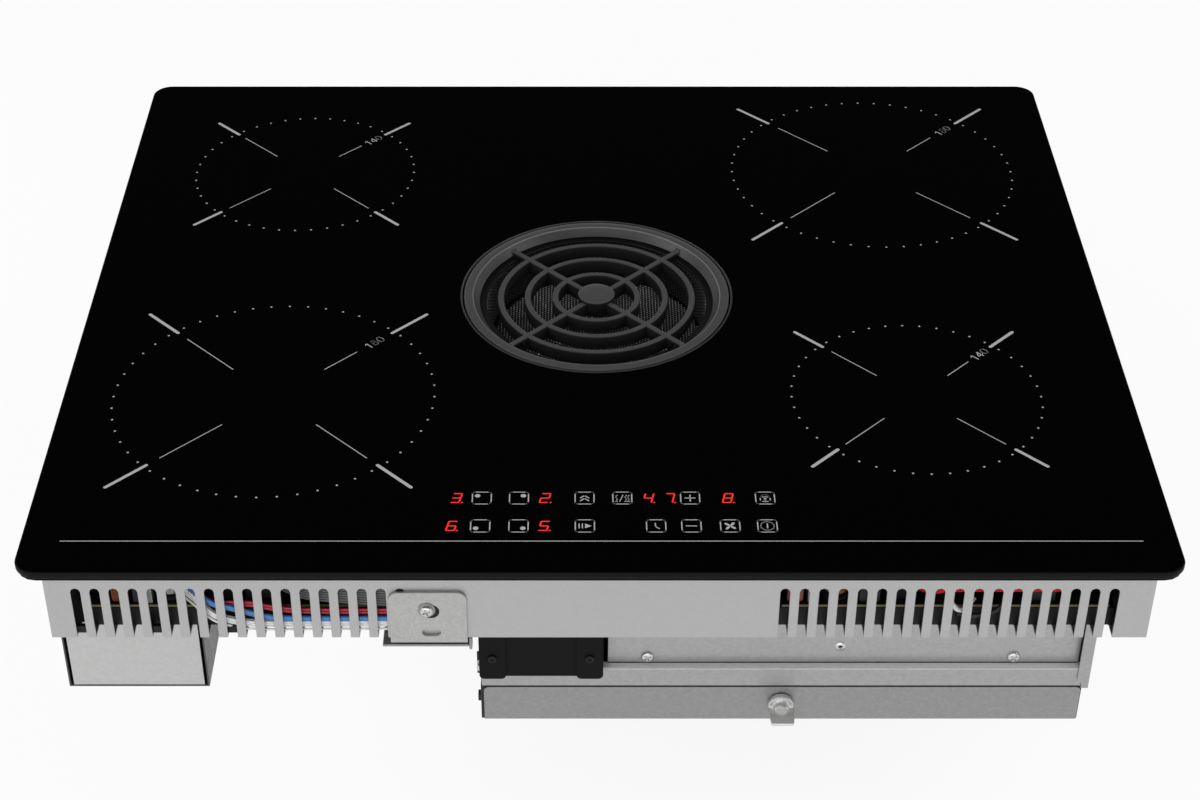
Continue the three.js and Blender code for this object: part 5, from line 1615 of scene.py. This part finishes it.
@dataclass(frozen=True)
class Strand:
    """One group of like wires behind the front skirt, in millimetres.

    Attributes:
        name: Its name.
        finish: The wires' finish.
        radius: Radius of one wire.
        offsets: How far each wire lies back from and above the group's line.
        heights: The heights of the line's points.
        depth: The line's distance behind the middle of the chassis, as Y.
        stands_for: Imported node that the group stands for.
    """

    name: str
    finish: Finish
    radius: float
    offsets: tuple[Point2, ...]
    heights: tuple[float, ...]
    depth: float
    stands_for: str


@dataclass
class Harness(SubAssembly):
    """The blue, red and white wires and the grey ribbon cable in the channel behind the front skirt."""

    root_back: float = 9.0
    along: tuple[float, ...] = (-221, -212.5, -202.6, -192.7, -182.8, -172.9, -163, -150, -120, -93)
    strands: tuple[Strand, ...] = (
        Strand(
            "blue", WIRE_BLUE, 1.15, ((0.0, 1.0), (0.7, -1.0)),
            (-17.5, -23.8, -29.6, -33.0, -36.4, -39.2, -40.1, -40.4, -40.4, -40.4), -240.3, "harness_blue",
        ),
        Strand(
            "red", WIRE_RED, 0.95, ((0.3, 0.85), (0.0, -0.85)),
            (-20.5, -25.5, -30.8, -31.6, -31.9, -34.3, -36.0, -36.8, -36.9, -36.9), -238.0, "harness_red",
        ),
        Strand(
            "white", WIRE_WHITE, 0.68, ((0.0, 2.7), (0.4, 1.0), (0.9, -0.7), (0.0, -2.3), (2.2, 1.9), (2.2, -1.5)),
            (-25.5, -31.6, -38.6, -43.0, -44.8, -45.2, -45.2, -45.0, -44.8, -44.6), -240.4, "harness_white",
        ),
    )
    ribbon_ways: int = 9
    ribbon_top: float = -17.2
    ribbon_depth: float = -239.2
    ribbon_pitch: float = 1.8

    def dress(self) -> None:
        """Lays every wire, the ribbon cable, the sleeved coil lead and the loose leads."""
        for strand in self.strands:
            wires = [self._wire(strand, back, up) for back, up in strand.offsets]
            group = joined(f"wires_{strand.name}", wires)
            self.put(group, strand.finish, f"wire_{strand.name}", replaces=[strand.stands_for])
        self._ribbon()
        self._sleeve()
        self._loop()

    def _wire(self, strand: Strand, back: float, up: float) -> bpy.types.Object:
        """Sweeps one wire, which starts well behind the skirt and fans out a little at its start.

        Args:
            strand: The group it belongs to.
            back: How far it lies behind the group's line.
            up: How far it lies above the line.

        Returns:
            The wire.
        """
        path = []
        for index, (x, z) in enumerate(zip(self.along, strand.heights)):
            lead = max(0.0, 1.0 - index / 2)
            fan = 1.0 + 0.5 * lead
            path.append((x * MM, (strand.depth + back + self.root_back * lead) * MM, (z + up * fan) * MM))
        return swept(f"wire_{strand.name}", path, strand.radius * MM, 12)

    def _ribbon(self) -> None:
        """The flat cable of parallel grey wires above the harness."""
        wires = []
        for way in range(self.ribbon_ways):
            z = self.ribbon_top - way * self.ribbon_pitch
            line = (
                (-178, 4.5, 14.0), (-166, 3.2, 7.5), (-155, 1.8, 3.0), (-140, 0.6, 1.6), (-120, -0.8, 1.2),
                (-93, -2.6, 1.2),
            )
            path = metres((x, self.ribbon_depth + back + 0.12 * way, z + rise) for x, rise, back in line)
            wires.append(swept("ribbon_way", path, 0.74 * MM))
        self.put(joined("ribbon_cable", wires), WIRE_GREY, "wire_white")

    def _sleeve(self) -> None:
        """The crimson sleeved lead behind the tops of the right-hand slots."""
        line = (
            (158, -222, -22), (166, -234, -21.5), (173, -239.0, -20.6), (182, -239.3, -19.2), (205, -239.3, -18.9),
            (232, -239.3, -18.9), (242, -237.5, -19.4), (247, -226, -20.5), (249, -208, -22),
        )
        made = swept("coil_sleeve", metres(line), 2.55 * MM, 20)
        self.put(made, SLEEVE_CRIMSON, "wire_red", replaces=["coil_lead"])

    def _loop(self) -> None:
        """A loose white lead and a dark one that hang in front of the right board."""
        white = (
            (181.5, -231, -23.0), (182.0, -237.4, -25.5), (184.4, -238.6, -31.0), (188.2, -238.2, -35.4),
            (193.0, -236.6, -36.6), (197.5, -230, -35.2),
        )
        dark = (
            (188, -238.4, -37.6), (196, -239.0, -38.9), (206, -238.6, -37.0), (212, -236.8, -32.0), (214, -228, -27),
        )
        self.put(swept("loose_lead", metres(white), 1.5 * MM, 14), WIRE_WHITE, "wire_white")
        self.put(swept("loose_dark_lead", metres(dark), 1.3 * MM, 12), MOULDED_BLACK, "black_plastic")


@dataclass
class Boards(SubAssembly):
    """The two power boards: dark lacquered faces deepened by painted shade, tan edges and the parts that stand at the
    front.
    """

    board_top: float = -35.0

    def dress(self) -> None:
        """Dresses the boards and the parts that stand on them."""
        for side in ("left", "right"):
            made = refined(f"power_board_{side}", f"board_{side}", 0.0)
            painted(made, SHADED_SOLDER_MASK, LAMINATE)
            # Top faces get the mask with its painted shade; edges get the tan laminate.
            for face in made.data.polygons:
                face.material_index = 0 if abs(face.normal.z) > 0.7 else 1
                face.use_smooth = False
            self.put(made, SHADED_SOLDER_MASK, "circuit_board", replaces=[f"power_board_{side}"])
            made = refined(f"board_tray_{side}", f"insulating_tray_{side}", 0.0003)
            self.put(made, TRAY_BLACK, "black_plastic", replaces=[f"board_tray_{side}"])
        for node, finish in (("film_capacitor_left", CAPACITOR_BROWN), ("film_capacitor_right", CAPACITOR_RED)):
            self.put(refined(node, f"{node}_dressed", 0.0006), finish, "capacitor_red", replaces=[node])
        self._choke("left", -226.0, -224.0, SATIN_ZINC)
        self._choke("right", 125.0, -224.0, WINDING)
        self._parts()

    def _choke(self, side: str, x: float, y: float, turns: Finish) -> None:
        """A choke: a ferrite bobbin with its turns of wire.

        Args:
            side: "left" or "right".
            x: Its middle along X, in millimetres.
            y: Its middle along Y, in millimetres.
            turns: Finish of its turns.
        """
        foot = self.board_top + 0.3
        bobbin = [
            (2.0, 0.0), (8.0, 0.0), (8.0, 1.5), (5.6, 2.0), (5.6, 12.0), (8.0, 12.5), (8.0, 14.0), (7.6, 16.0),
            (2.0, 16.0),
        ]
        core = turned("bobbin", metres(bobbin), (x * MM, y * MM, foot * MM), 40)
        smooth_by_angle(core, 40)
        painted(core, FERRITE)
        coil = [
            (x + 6.3 * math.cos(t * math.tau / 12), y + 6.3 * math.sin(t * math.tau / 12), foot + 2.6 + 0.076 * t)
            for t in range(118)
        ]
        wire = swept("turns", metres(coil), 0.44 * MM, 6)
        painted(wire, turns)
        self.put(joined(f"choke_{side}_dressed", [core, wire]), FERRITE, "copper", replaces=[f"choke_{side}"])

    def _parts(self) -> None:
        """Smaller parts along the boards' front edges: cans, blocks and a bright clip on each board."""
        top = self.board_top
        blocks: tuple[tuple[str, Finish, float, float, float, float, float], ...] = (
            ("relay_left", FERRITE, -245.0, -236.5, -233.5, -219.0, 13.0),
            ("clip_left", SATIN_ZINC, -237.8, -234.6, -234.2, -229.0, 12.0),
            ("fuse_block_left", TRAY_BLACK, -205.0, -189.0, -231.0, -214.0, 12.5),
            ("driver_left", FERRITE, -186.0, -171.0, -230.0, -212.0, 9.5),
            ("relay_right", FERRITE, 136.5, 147.5, -233.0, -216.0, 14.5),
            ("clip_right", SATIN_ZINC, 109.5, 115.5, -233.6, -226.0, 10.0),
            ("driver_right", TRAY_BLACK, 151.0, 165.0, -231.0, -214.0, 12.5),
            ("block_right", FERRITE, 226.0, 240.0, -232.0, -214.0, 9.0),
        )
        for name, finish, x0, x1, y0, y1, height in blocks:
            low, high = metres(((x0, y0, top + 0.05), (x1, y1, top + height)))
            self.put(box_piece(name, low, high, 0.0005), finish, "black_plastic")
        cans = (
            (-214.0, -228.5, 4.2, 13.0), (-178.0, -204.0, 5.0, 14.0), (134.0, -206.0, 5.0, 14.0),
            (118.5, -209.0, 4.2, 12.0),
        )
        for index, (x, y, radius, height) in enumerate(cans):
            profile = [(0.2, 0.05), (radius, 0.05), (radius, height - 0.6), (radius - 0.6, height), (0.2, height)]
            made = turned(f"can_{index}", metres(profile), (x * MM, y * MM, top * MM), 28)
            smooth_by_angle(made, 40)
            self.put(made, CAN_SLEEVE, "black_plastic")


# ---------------------------------------------------------------- fasteners, the clamp and the drain plug


def aimed(made: bpy.types.Object, at: Point, facing: Point, turn: float = 0.0) -> bpy.types.Object:
    """Moves a piece that was built round +Z at the origin to its place.

    Args:
        made: The piece.
        at: Where its foot goes, in millimetres.
        facing: Where its +Z axis points.
        turn: How far it is turned about that axis, in degrees.

    Returns:
        The same piece.
    """
    aim = Vector(facing).to_track_quat("Z", "Y").to_matrix().to_4x4()
    spot = Matrix.Translation(Vector(metres((at,))[0]))
    made.data.transform(spot @ aim @ Matrix.Rotation(math.radians(turn), 4, "Z"))
    return made


def block(name: str, low: Point, high: Point, edge: float = 0.3) -> bpy.types.Object:
    """A block with rounded edges between two corners, all in millimetres."""
    return box_piece(name, *metres((low, high)), edge * MM)


def cut_out(made: bpy.types.Object, cutters: Sequence[bpy.types.Object]) -> bpy.types.Object:
    """Cuts pieces out of another, which are used up.

    Args:
        made: The piece to cut.
        cutters: The pieces to take away.

    Returns:
        The cut piece.
    """
    for cutter in cutters:
        cut = made.modifiers.new("cut", "BOOLEAN")
        cut.operation = "DIFFERENCE"
        cut.object = cutter
        cut.solver = "EXACT"
    applied(made)
    for cutter in cutters:
        bpy.data.objects.remove(cutter)
    return made


@dataclass(frozen=True)
class Screw:
    """One screw or rivet head that shows, in millimetres.

    Attributes:
        name: Its name.
        at: The middle of its foot.
        facing: Where the head looks.
        radius: Radius of its head.
        height: Height of its head.
        turn: How far its recess is turned, in degrees.
        washer: Radius of the washer under it, or 0.
        finish: Finish of the head.
        stands_for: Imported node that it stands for, if any.
        body: The body it rides on.
    """

    name: str
    at: Point
    facing: Point
    radius: float
    height: float
    turn: float = 0.0
    washer: float = 0.0
    stands_for: str = ""
    body: Body = Body.COOKTOP
    finish: Finish = SCREW_STEEL


FRONT: Point = (0.0, -1.0, 0.0)
REAR: Point = (0.0, 1.0, 0.0)
LEFT: Point = (-1.0, 0.0, 0.0)
RIGHT: Point = (1.0, 0.0, 0.0)
DOWN: Point = (0.0, 0.0, -1.0)


@dataclass
class Fasteners(SubAssembly):
    """Every screw and rivet head that can be seen from the front, the back, the sides and below."""

    sides: int = 32

    def dress(self) -> None:
        """Builds each head in its place."""
        for screw in self._screws():
            made = self._pan_head(screw)
            replaces = [screw.stands_for] if screw.stands_for else []
            self.put(made, screw.finish, "bright_steel", screw.body, replaces)
        self.put(self._rivet(), SCREW_STEEL, "bright_steel", replaces=["panel_rivet"])

    @staticmethod
    def _screws() -> list[Screw]:
        """Lists the screws with their places.

        Returns:
            The screws.
        """
        screws = [
            Screw("clamp_screw_front_dressed", (-90.0, -245.35, -29.5), FRONT, 3.5, 2.0, 22, 4.6, "clamp_screw_front"),
            Screw("clamp_screw_rear_dressed", (89.4, 245.35, -29.5), REAR, 3.5, 2.0, 10, 4.6, "clamp_screw_rear"),
            Screw("panel_screw_left_dressed", (29.5, -152.0, -148.6), FRONT, 3.8, 2.1, 30, 0, "panel_screw_left"),
            Screw("panel_screw_right_dressed", (243.0, -152.0, -148.6), FRONT, 3.8, 2.1, 40, 0, "panel_screw_right"),
            Screw("box_wall_screw", (-67.4, -148.0, -159.8), LEFT, 3.4, 3.0, 15),
            # The housing's sunk screws take the near-black painted shade of their recesses.
            Screw("housing_screw_left", (-60.5, -164.6, -139.2), FRONT, 2.5, 1.0, 20, finish=PAINTED_SHADE_DARK),
            Screw("housing_screw_right", (-4.2, -164.6, -139.2), FRONT, 2.5, 1.0, 55, finish=PAINTED_SHADE_DARK),
        ]
        for index, x in enumerate((-250.0, -110.0, 110.0, 250.0)):
            screws.append(Screw(f"rear_skirt_screw_{index}", (x, 243.5, -36.0), REAR, 3.0, 1.8, 20 * index))
        for index, y in enumerate((-180.0, -60.0, 60.0, 180.0)):
            screws.append(Screw(f"left_skirt_screw_{index}", (-288.0, y, -36.0), LEFT, 3.0, 1.8, 25 * index))
            screws.append(Screw(f"right_skirt_screw_{index}", (288.0, y, -36.0), RIGHT, 3.0, 1.8, 15 * index))
        for index, (x, y) in enumerate(((-262, -40), (-262, 220), (-110, 220), (-110, -60), (-180, 120))):
            screws.append(Screw(f"floor_screw_{index}", (x, y, -50.5), DOWN, 3.0, 1.8, 35 * index))
        for index, (y, z) in enumerate(((-140, -62), (0, -62), (140, -62), (-140, -157), (140, -157))):
            screws.append(Screw(f"box_right_screw_{index}", (288.0, y, z), RIGHT, 3.0, 1.8, 30 * index))
        for index, (y, z) in enumerate(((-90, -62), (30, -62), (140, -62), (30, -157), (140, -157))):
            screws.append(Screw(f"box_left_screw_{index}", (-67.4, y, z), LEFT, 3.0, 1.8, 22 * index))
        for index, (x, z) in enumerate(((-55, -62), (20, -62), (-55, -157), (20, -157))):
            screws.append(Screw(f"box_rear_screw_{index}", (x, 156.5, z), REAR, 3.0, 1.8, 18 * index))
        return screws

    def _pan_head(self, screw: Screw) -> bpy.types.Object:
        """A pan head with a cross recess, on a washer where there is one, with a black disc set off beside the washer
        as painted shade in the hole.

        Args:
            screw: The screw.

        Returns:
            The head, in its place.
        """
        r, h = screw.radius, screw.height
        profile = [
            (0.05, -0.1), (r, -0.1), (r, h * 0.3), (r * 0.93, h * 0.66), (r * 0.76, h * 0.9), (r * 0.5, h), (0.05, h),
        ]
        head = turned("head", metres(profile), count=self.sides)
        arm, wide, deep = r * 0.62, r * 0.15, h * 0.42
        cut_out(head, [block("arm", (-u, -v, deep), (u, v, h + 1), 0) for u, v in ((arm, wide), (wide, arm))])
        smooth_by_angle(head, 40)
        parts = [head]
        if screw.washer:
            w = screw.washer
            ring = [(0.05, -0.1), (w, -0.1), (w, 0.35), (w - 0.25, 0.6), (0.05, 0.6)]
            washer = turned("washer", metres(ring), count=40)
            smooth_by_angle(washer, 40)
            painted(washer, TRAY_STEEL)
            head.data.materials.append(screw.finish.material())
            # Painted shade: a black disc set off to one side of the washer for the shadowed hole round the screw.
            painted_hole_shade = turned("painted_hole_shade", metres(((0.05, -0.1), (4.4, -0.1), (4.4, 0.12), (0.05, 0.12))), count=32)
            painted(painted_hole_shade, TRAY_BLACK)
            side = Matrix.Rotation(math.radians(-screw.turn), 4, "Z") @ Matrix.Translation((2.2 * MM, -1.2 * MM, 0))
            painted_hole_shade.data.transform(side)
            parts.append(painted_hole_shade)
            head.data.transform(Matrix.Translation((0, 0, 0.55 * MM)))
            parts.append(washer)
        return aimed(joined(screw.name, parts), screw.at, screw.facing, screw.turn)

    def _rivet(self) -> bpy.types.Object:
        """The flat blind rivet in the front panel, with a black cone in its bore as painted shade.

        Returns:
            The rivet, in its place.
        """
        profile = [(1.5, -0.1), (3.3, -0.1), (3.3, 0.25), (2.9, 0.7), (1.5, 0.95), (0.95, 0.3), (0.85, -0.1)]
        made = turned("rivet_front", metres(profile), count=self.sides)
        smooth_by_angle(made, 40)
        painted(made, SCREW_STEEL)
        # Painted shade: a black cone fills the rivet's bore, where the hole lies in shadow.
        pit = turned("pit", metres(((0.05, -0.1), (1.2, -0.1), (0.9, 0.3), (0.05, 0.3))), count=16)
        painted(pit, TRAY_BLACK)
        return aimed(joined("rivet_front", [made, pit]), (141.5, -152.0, -140.8), FRONT)


@dataclass
class ClampLeaf(SubAssembly):
    """The spring leaf behind each clamp plate, whose folded foot shows below it, in millimetres."""

    skirt: float = 243.7
    reach: float = 16.0
    lip_reach: float = 14.5
    hook_reach: float = 6.0
    underside: float = -56.8

    def dress(self) -> None:
        """Builds the front and the rear leaf."""
        for name, sign, x in (("front", -1.0, -89.4), ("rear", 1.0, 89.4)):
            self.put(self._leaf(f"clamp_leaf_{name}", sign, x), TRAY_STEEL, "bright_steel")

    def _leaf(self, name: str, sign: float, x: float) -> bpy.types.Object:
        """Builds one leaf: a folded foot under the chassis with a hook at its end.

        Args:
            name: Its name.
            sign: -1 at the front and 1 at the rear.
            x: The clamp's middle along X, in millimetres.

        Returns:
            The leaf.
        """
        low, high, under = x - 24.8, x + 20.8, self.underside
        near, far = sorted((self.skirt * sign, (self.skirt - self.reach) * sign))
        foot = block("foot", (low, near, under), (high, far, under + 1.4))
        near, far = sorted((self.skirt * sign, (self.skirt - self.hook_reach) * sign))
        hook = block("hook", (high, near, under - 2.4), (high + 1.6, far, under + 5.8), 0.7)
        near, far = sorted(((self.skirt - self.lip_reach) * sign, (self.skirt - self.reach) * sign))
        lip = block("lip", (low, near, under), (high, far, under + 6.0))
        return joined(name, [foot, lip, hook])


@dataclass
class DrainPlug(SubAssembly):
    """The drain plug: a ribbed collar with a flat wing to turn it by."""

    body: Body = Body.PLUG
    at: Point = (108.5, -156.8, -181.0)

    def dress(self) -> None:
        """Builds the collar, neck, shank and wing."""
        collar = [
            (0.05, -11.0), (3.9, -11.0), (4.0, 0.2), (7.0, 0.2), (7.3, 0.6), (7.3, 3.2), (6.9, 3.7), (5.2, 3.9),
            (4.7, 4.4), (4.6, 7.6), (4.0, 8.3), (0.05, 8.5),
        ]
        body = turned("collar", metres(collar), count=72)
        smooth_by_angle(body, 35)
        ribs = []
        for turn in range(24):
            angle = math.tau * turn / 24
            rib = block("rib", (-0.32, -0.3, 0.7), (0.32, 0.35, 3.2), 0.12)
            rib.data.transform(Matrix.Rotation(angle, 4, "Z") @ Matrix.Translation((0, 7.3 * MM, 0)))
            ribs.append(rib)
        wing = self._wing()
        made = joined("drain_plug_dressed", [body, wing, *ribs])
        aimed(made, self.at, FRONT)
        self.put(made, PLUG_NICKEL, "bright_steel", replaces=["drain_plug"])

    @staticmethod
    def _wing() -> bpy.types.Object:
        """The flat wing in front of the collar, a little narrower at its tip.

        Returns:
            The wing, round the plug's own axis.
        """
        outline = [(-7.9, 5.6), (-6.7, 18.2), (-6.0, 19.0), (6.0, 19.0), (6.7, 18.2), (7.9, 5.6)]
        loops = [metres((x, side, along) for x, along in outline) for side in (-1.0, 1.0)]
        made = lofted("wing", loops)
        bevelled(made, 0.0004, 3)
        smooth_by_angle(made, 40)
        return made


# ---------------------------------------------------------------- pressed and moulded details on the hidden sides


@dataclass(frozen=True)
class Pressing:
    """A row of equal shapes that stand a little proud of a sheet, in millimetres.

    Attributes:
        name: Their common name.
        spots: The middles of their feet.
        facing: Where they stand out to.
        size: Width and height of one foot.
        corner: Corner radius of the foot.
        rise: How far it stands out.
        draft: How far its top draws in all round.
    """

    name: str
    spots: tuple[Point, ...]
    facing: Point
    size: Point2
    corner: float
    rise: float
    draft: float


@dataclass
class HiddenSides(SubAssembly):
    """Louvres, stiffening beads and mould ribs on the sides that the front view does not show."""

    def dress(self) -> None:
        """Presses the beads and louvres and adds the mouldings' ribs."""
        for pressing in self._steel():
            # The terminal box's bead takes the tub's painted-shade finish.
            finish = SHADED_TERMINAL_WALL if pressing.name.startswith("bead_terminal") else BOX_ZINC
            self.put(self._pressed(pressing), finish, "chassis_steel")
        for pressing in self._louvres():
            self.put(self._louvre_row(pressing), CHASSIS_ZINC, "chassis_steel")
        for pressing in self._mouldings():
            self.put(self._pressed(pressing), MOULDED_BLACK, "black_plastic")
        for pressing in self._tray():
            self.put(self._pressed(pressing), MOULDED_BLACK, "black_plastic", Body.TRAY)
        self._small_front_parts()

    def _small_front_parts(self) -> None:
        """Adds the shadow line and the crease of the panel's ledge and the clips in the slots."""
        line = block("ledge_line", (6.4, -152.35, -153.5), (281.4, -151.0, -153.15), 0.0)
        self.put(line, TRAY_BLACK, "black_plastic")
        for index, x in enumerate((-274, -235, -195)):
            clip = block(f"tray_clip_{index}", (x - 5, -241.4, -49.4), (x + 5, -238.4, -44.6), 0.8)
            self.put(clip, TRAY_BLACK, "black_plastic")
        # The crease is a thin strip of the same pale zinc, a painted highlight along the ledge.
        crease = block("ledge_crease", (6.4, -156.75, -154.6), (281.4, -156.3, -154.2), 0.1)
        self.put(crease, LEDGE_PAINTED_LIGHT, "galvanised")

    @staticmethod
    def _steel() -> list[Pressing]:
        """Lists the stiffening beads of the fan box.

        Returns:
            The beads.
        """
        rows = (
            ("right", 288.0, -2.0, RIGHT, 248.0), ("left", -67.4, 26.0, LEFT, 196.0), ("rear", -9.0, 156.5, REAR, 84.0),
        )
        beads = [
            Pressing(f"bead_box_{side}", ((x, y, -86.0), (x, y, -132.0)), facing, (length, 9.0), 4.4, 1.3, 1.4)
            for side, x, y, facing, length in rows
        ]
        terminal = Pressing("bead_terminal_left", ((-288.5, -166.0, -77.0),), LEFT, (78.0, 20.0), 3.0, 1.0, 1.2)
        return [*beads, terminal]

    @staticmethod
    def _louvres() -> list[Pressing]:
        """Lists the rows of pressed louvres in the chassis skirt.

        Returns:
            The rows.
        """
        rows = (
            ("left", LEFT, tuple((-288.0, y, -20.0) for y in range(30, 211, 12))),
            ("right", RIGHT, tuple((288.0, y, -20.0) for y in range(30, 211, 12))),
            ("rear", REAR, tuple((x, 243.5, -20.0) for x in range(-234, -125, 12))),
        )
        return [Pressing(f"louvres_{side}", spots, facing, (5.0, 22.0), 2.4, 1.9, 1.1) for side, facing, spots in rows]

    @staticmethod
    def _mouldings() -> list[Pressing]:
        """Lists the ribs on the fixed mouldings.

        Returns:
            The ribs.
        """
        lower = tuple((x, 169.5, -149.3) for x in (80.0, 124.0, 168.0, 212.0, 256.0))
        return [Pressing("collar_ribs_below", lower, DOWN, (2.0, 24.0), 0.6, 1.4, 0.2)]

    @staticmethod
    def _tray() -> list[Pressing]:
        """Lists the ribs of the moulded tray.

        Returns:
            The ribs.
        """
        rows = (
            ("right", RIGHT, tuple((285.2, y, -183.0) for y in range(-120, 141, 26))),
            ("left", LEFT, tuple((-70.2, y, -183.0) for y in range(-120, 141, 26))),
            ("rear", REAR, tuple((x, 156.5, -183.0) for x in range(-44, 270, 26))),
        )
        return [
            Pressing(f"tray_ribs_{side}", spots, facing, (2.2, 17.0), 0.6, 1.6, 0.3) for side, facing, spots in rows
        ]

    @staticmethod
    def _pressed(pressing: Pressing) -> bpy.types.Object:
        """Builds a row of drafted shapes with softly rounded edges.

        Args:
            pressing: The row.

        Returns:
            All of them as one piece, in place.
        """
        parts = []
        for spot in pressing.spots:
            w, h = pressing.size
            loops = []
            for share, level in ((0.0, -0.2), (0.08, 0.12), (0.55, 0.72), (0.8, 0.94), (1.0, 1.0)):
                inset = pressing.draft * share
                corner = max(pressing.corner - inset, 0.2)
                flat = outline_of(w - 2 * inset, h - 2 * inset, corner, 6)
                rise = pressing.rise * level if level > 0 else level
                loops.append(metres((u, v, rise) for u, v in flat))
            one = lofted(pressing.name, loops)
            smooth_by_angle(one, 50)
            parts.append(aimed(one, spot, pressing.facing))
        return joined(pressing.name, parts)

    @staticmethod
    def _louvre_row(pressing: Pressing) -> bpy.types.Object:
        """Builds a row of louvres: half-open hoods with a black block under each as painted shade in the opening.

        Args:
            pressing: The row.

        Returns:
            All of them as one piece, in place.
        """
        parts = []
        w, h = pressing.size
        along, across = max(w, h), min(w, h)
        upright = 0.0 if w > h else 90.0
        for spot in pressing.spots:
            loops = []
            for step in range(9):
                share = step / 8
                bulge = pressing.rise * math.sin(math.pi * share) ** 0.45
                x = (share - 0.5) * along
                rows = [(-across / 2, -0.3), (-across / 2, 0.05)]
                rows += [(-across / 2 + across * t, bulge * math.sin(math.pi / 2 * t)) for t in (0.3, 0.6, 0.85, 1.0)]
                rows += [(across / 2, -0.3)]
                loops.append(metres((x, y, z) for y, z in rows))
            hood = lofted(pressing.name, loops)
            painted(hood, CHASSIS_ZINC)
            smooth_by_angle(hood, 45)
            end, side, top = along / 2 - 1.6, across / 2, pressing.rise * 0.62
            # Painted shade: a black block under the hood stands for the shadowed opening of the louvre.
            slot = block("slot", (-end, side - 0.2, 0.0), (end, side + 0.06, top), 0)
            painted(slot, TRAY_BLACK)
            one = joined("louvre", [hood, slot])
            parts.append(aimed(one, spot, pressing.facing, upright))
        return joined(pressing.name, parts)


# ---------------------------------------------------------------- sheet metal and everything that keeps its packed form


@dataclass
class SheetMetal(SubAssembly):
    """The sheet-metal and moulded pieces that keep their packed form, with their edges rounded."""

    ledge: Point2 = (-0.1536, -0.1528)

    def dress(self) -> None:
        """Rounds the edges of the pieces that show."""
        pieces: tuple[tuple[str, Finish, str, Body, float], ...] = (
            ("chassis_pan", CHASSIS_ZINC, "chassis_steel", Body.COOKTOP, 0.00022),
            # The terminal box's tub carries painted shade on its side walls.
            ("terminal_box_body", SHADED_TERMINAL_WALL, "chassis_steel", Body.COOKTOP, 0.00025),
            ("terminal_box_front", TERMINAL_ZINC, "chassis_steel", Body.COOKTOP, 0.00025),
            ("terminal_box_rear", TERMINAL_ZINC, "chassis_steel", Body.COOKTOP, 0.00025),
            ("side_plate_right", BOX_ZINC, "chassis_steel", Body.COOKTOP, 0.0003),
            ("fan_box_shell", BOX_ZINC, "galvanised", Body.COOKTOP, 0.0003),
            ("front_panel_upper", PANEL_STEEL, "galvanised", Body.COOKTOP, 0.0003),
            ("tray_front_plate", TRAY_STEEL, "galvanised", Body.TRAY, 0.00035),
            ("fan_control_housing", HOUSING_BLACK, "black_plastic", Body.COOKTOP, 0.0005),
            ("drip_tray", MOULDED_BLACK, "black_plastic", Body.TRAY, 0.0005),
            ("clamp_bracket_front", SATIN_ZINC, "bright_steel", Body.COOKTOP, 0.0003),
            ("clamp_bracket_rear", SATIN_ZINC, "bright_steel", Body.COOKTOP, 0.0003),
            ("outlet_collar", MOULDED_BLACK, "black_plastic", Body.COOKTOP, 0.0004),
            ("harness_connector", NYLON, "nylon", Body.COOKTOP, 0.0003),
            ("cable_gland", MOULDED_BLACK, "black_plastic", Body.COOKTOP, 0.0004),
        )
        for node, finish, slot, body, width in pieces:
            made = refined(node, f"{node}_dressed", width)
            if node == "fan_box_shell":
                self._brighten_ledge(made)
            self.put(made, finish, slot, body, [node])

    def _brighten_ledge(self, made: bpy.types.Object) -> None:
        """Paints light onto the ledge below the front panel: its upward faces get a paler zinc as a painted highlight.

        Args:
            made: The fan box.
        """
        painted(made, BOX_ZINC, LEDGE_PAINTED_LIGHT)
        for face in made.data.polygons:
            if face.normal.z > 0.9 and self.ledge[0] < face.center.z < self.ledge[1]:
                face.material_index = 1


# ---------------------------------------------------------------- building it all


def finish_packed_nodes() -> None:
    """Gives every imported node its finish, also those that a piece replaces."""
    for finish, nodes in NODE_FINISHES.items():
        for name in nodes:
            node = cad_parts[name]
            if not node.material_slots:
                node.data.materials.append(None)
            for index in range(len(node.material_slots)):
                node.material_slots[index].material = finish.material()


def main() -> None:
    """Builds the studio and every sub-assembly in turn."""
    logging.basicConfig(level=logging.INFO, format="%(name)s: %(message)s")
    Studio().build()
    finish_packed_nodes()
    parts: tuple[SubAssembly, ...] = (
        GlassTop(), PrintedMarks(), Grille(), GreaseFilter(), Harness(), Boards(), Fasteners(), ClampLeaf(),
        DrainPlug(), HiddenSides(), SheetMetal(),
    )
    for part in parts:
        part.dress()
        log.info("%s is done", type(part).__name__)


if __name__ == "__main__":
    main()
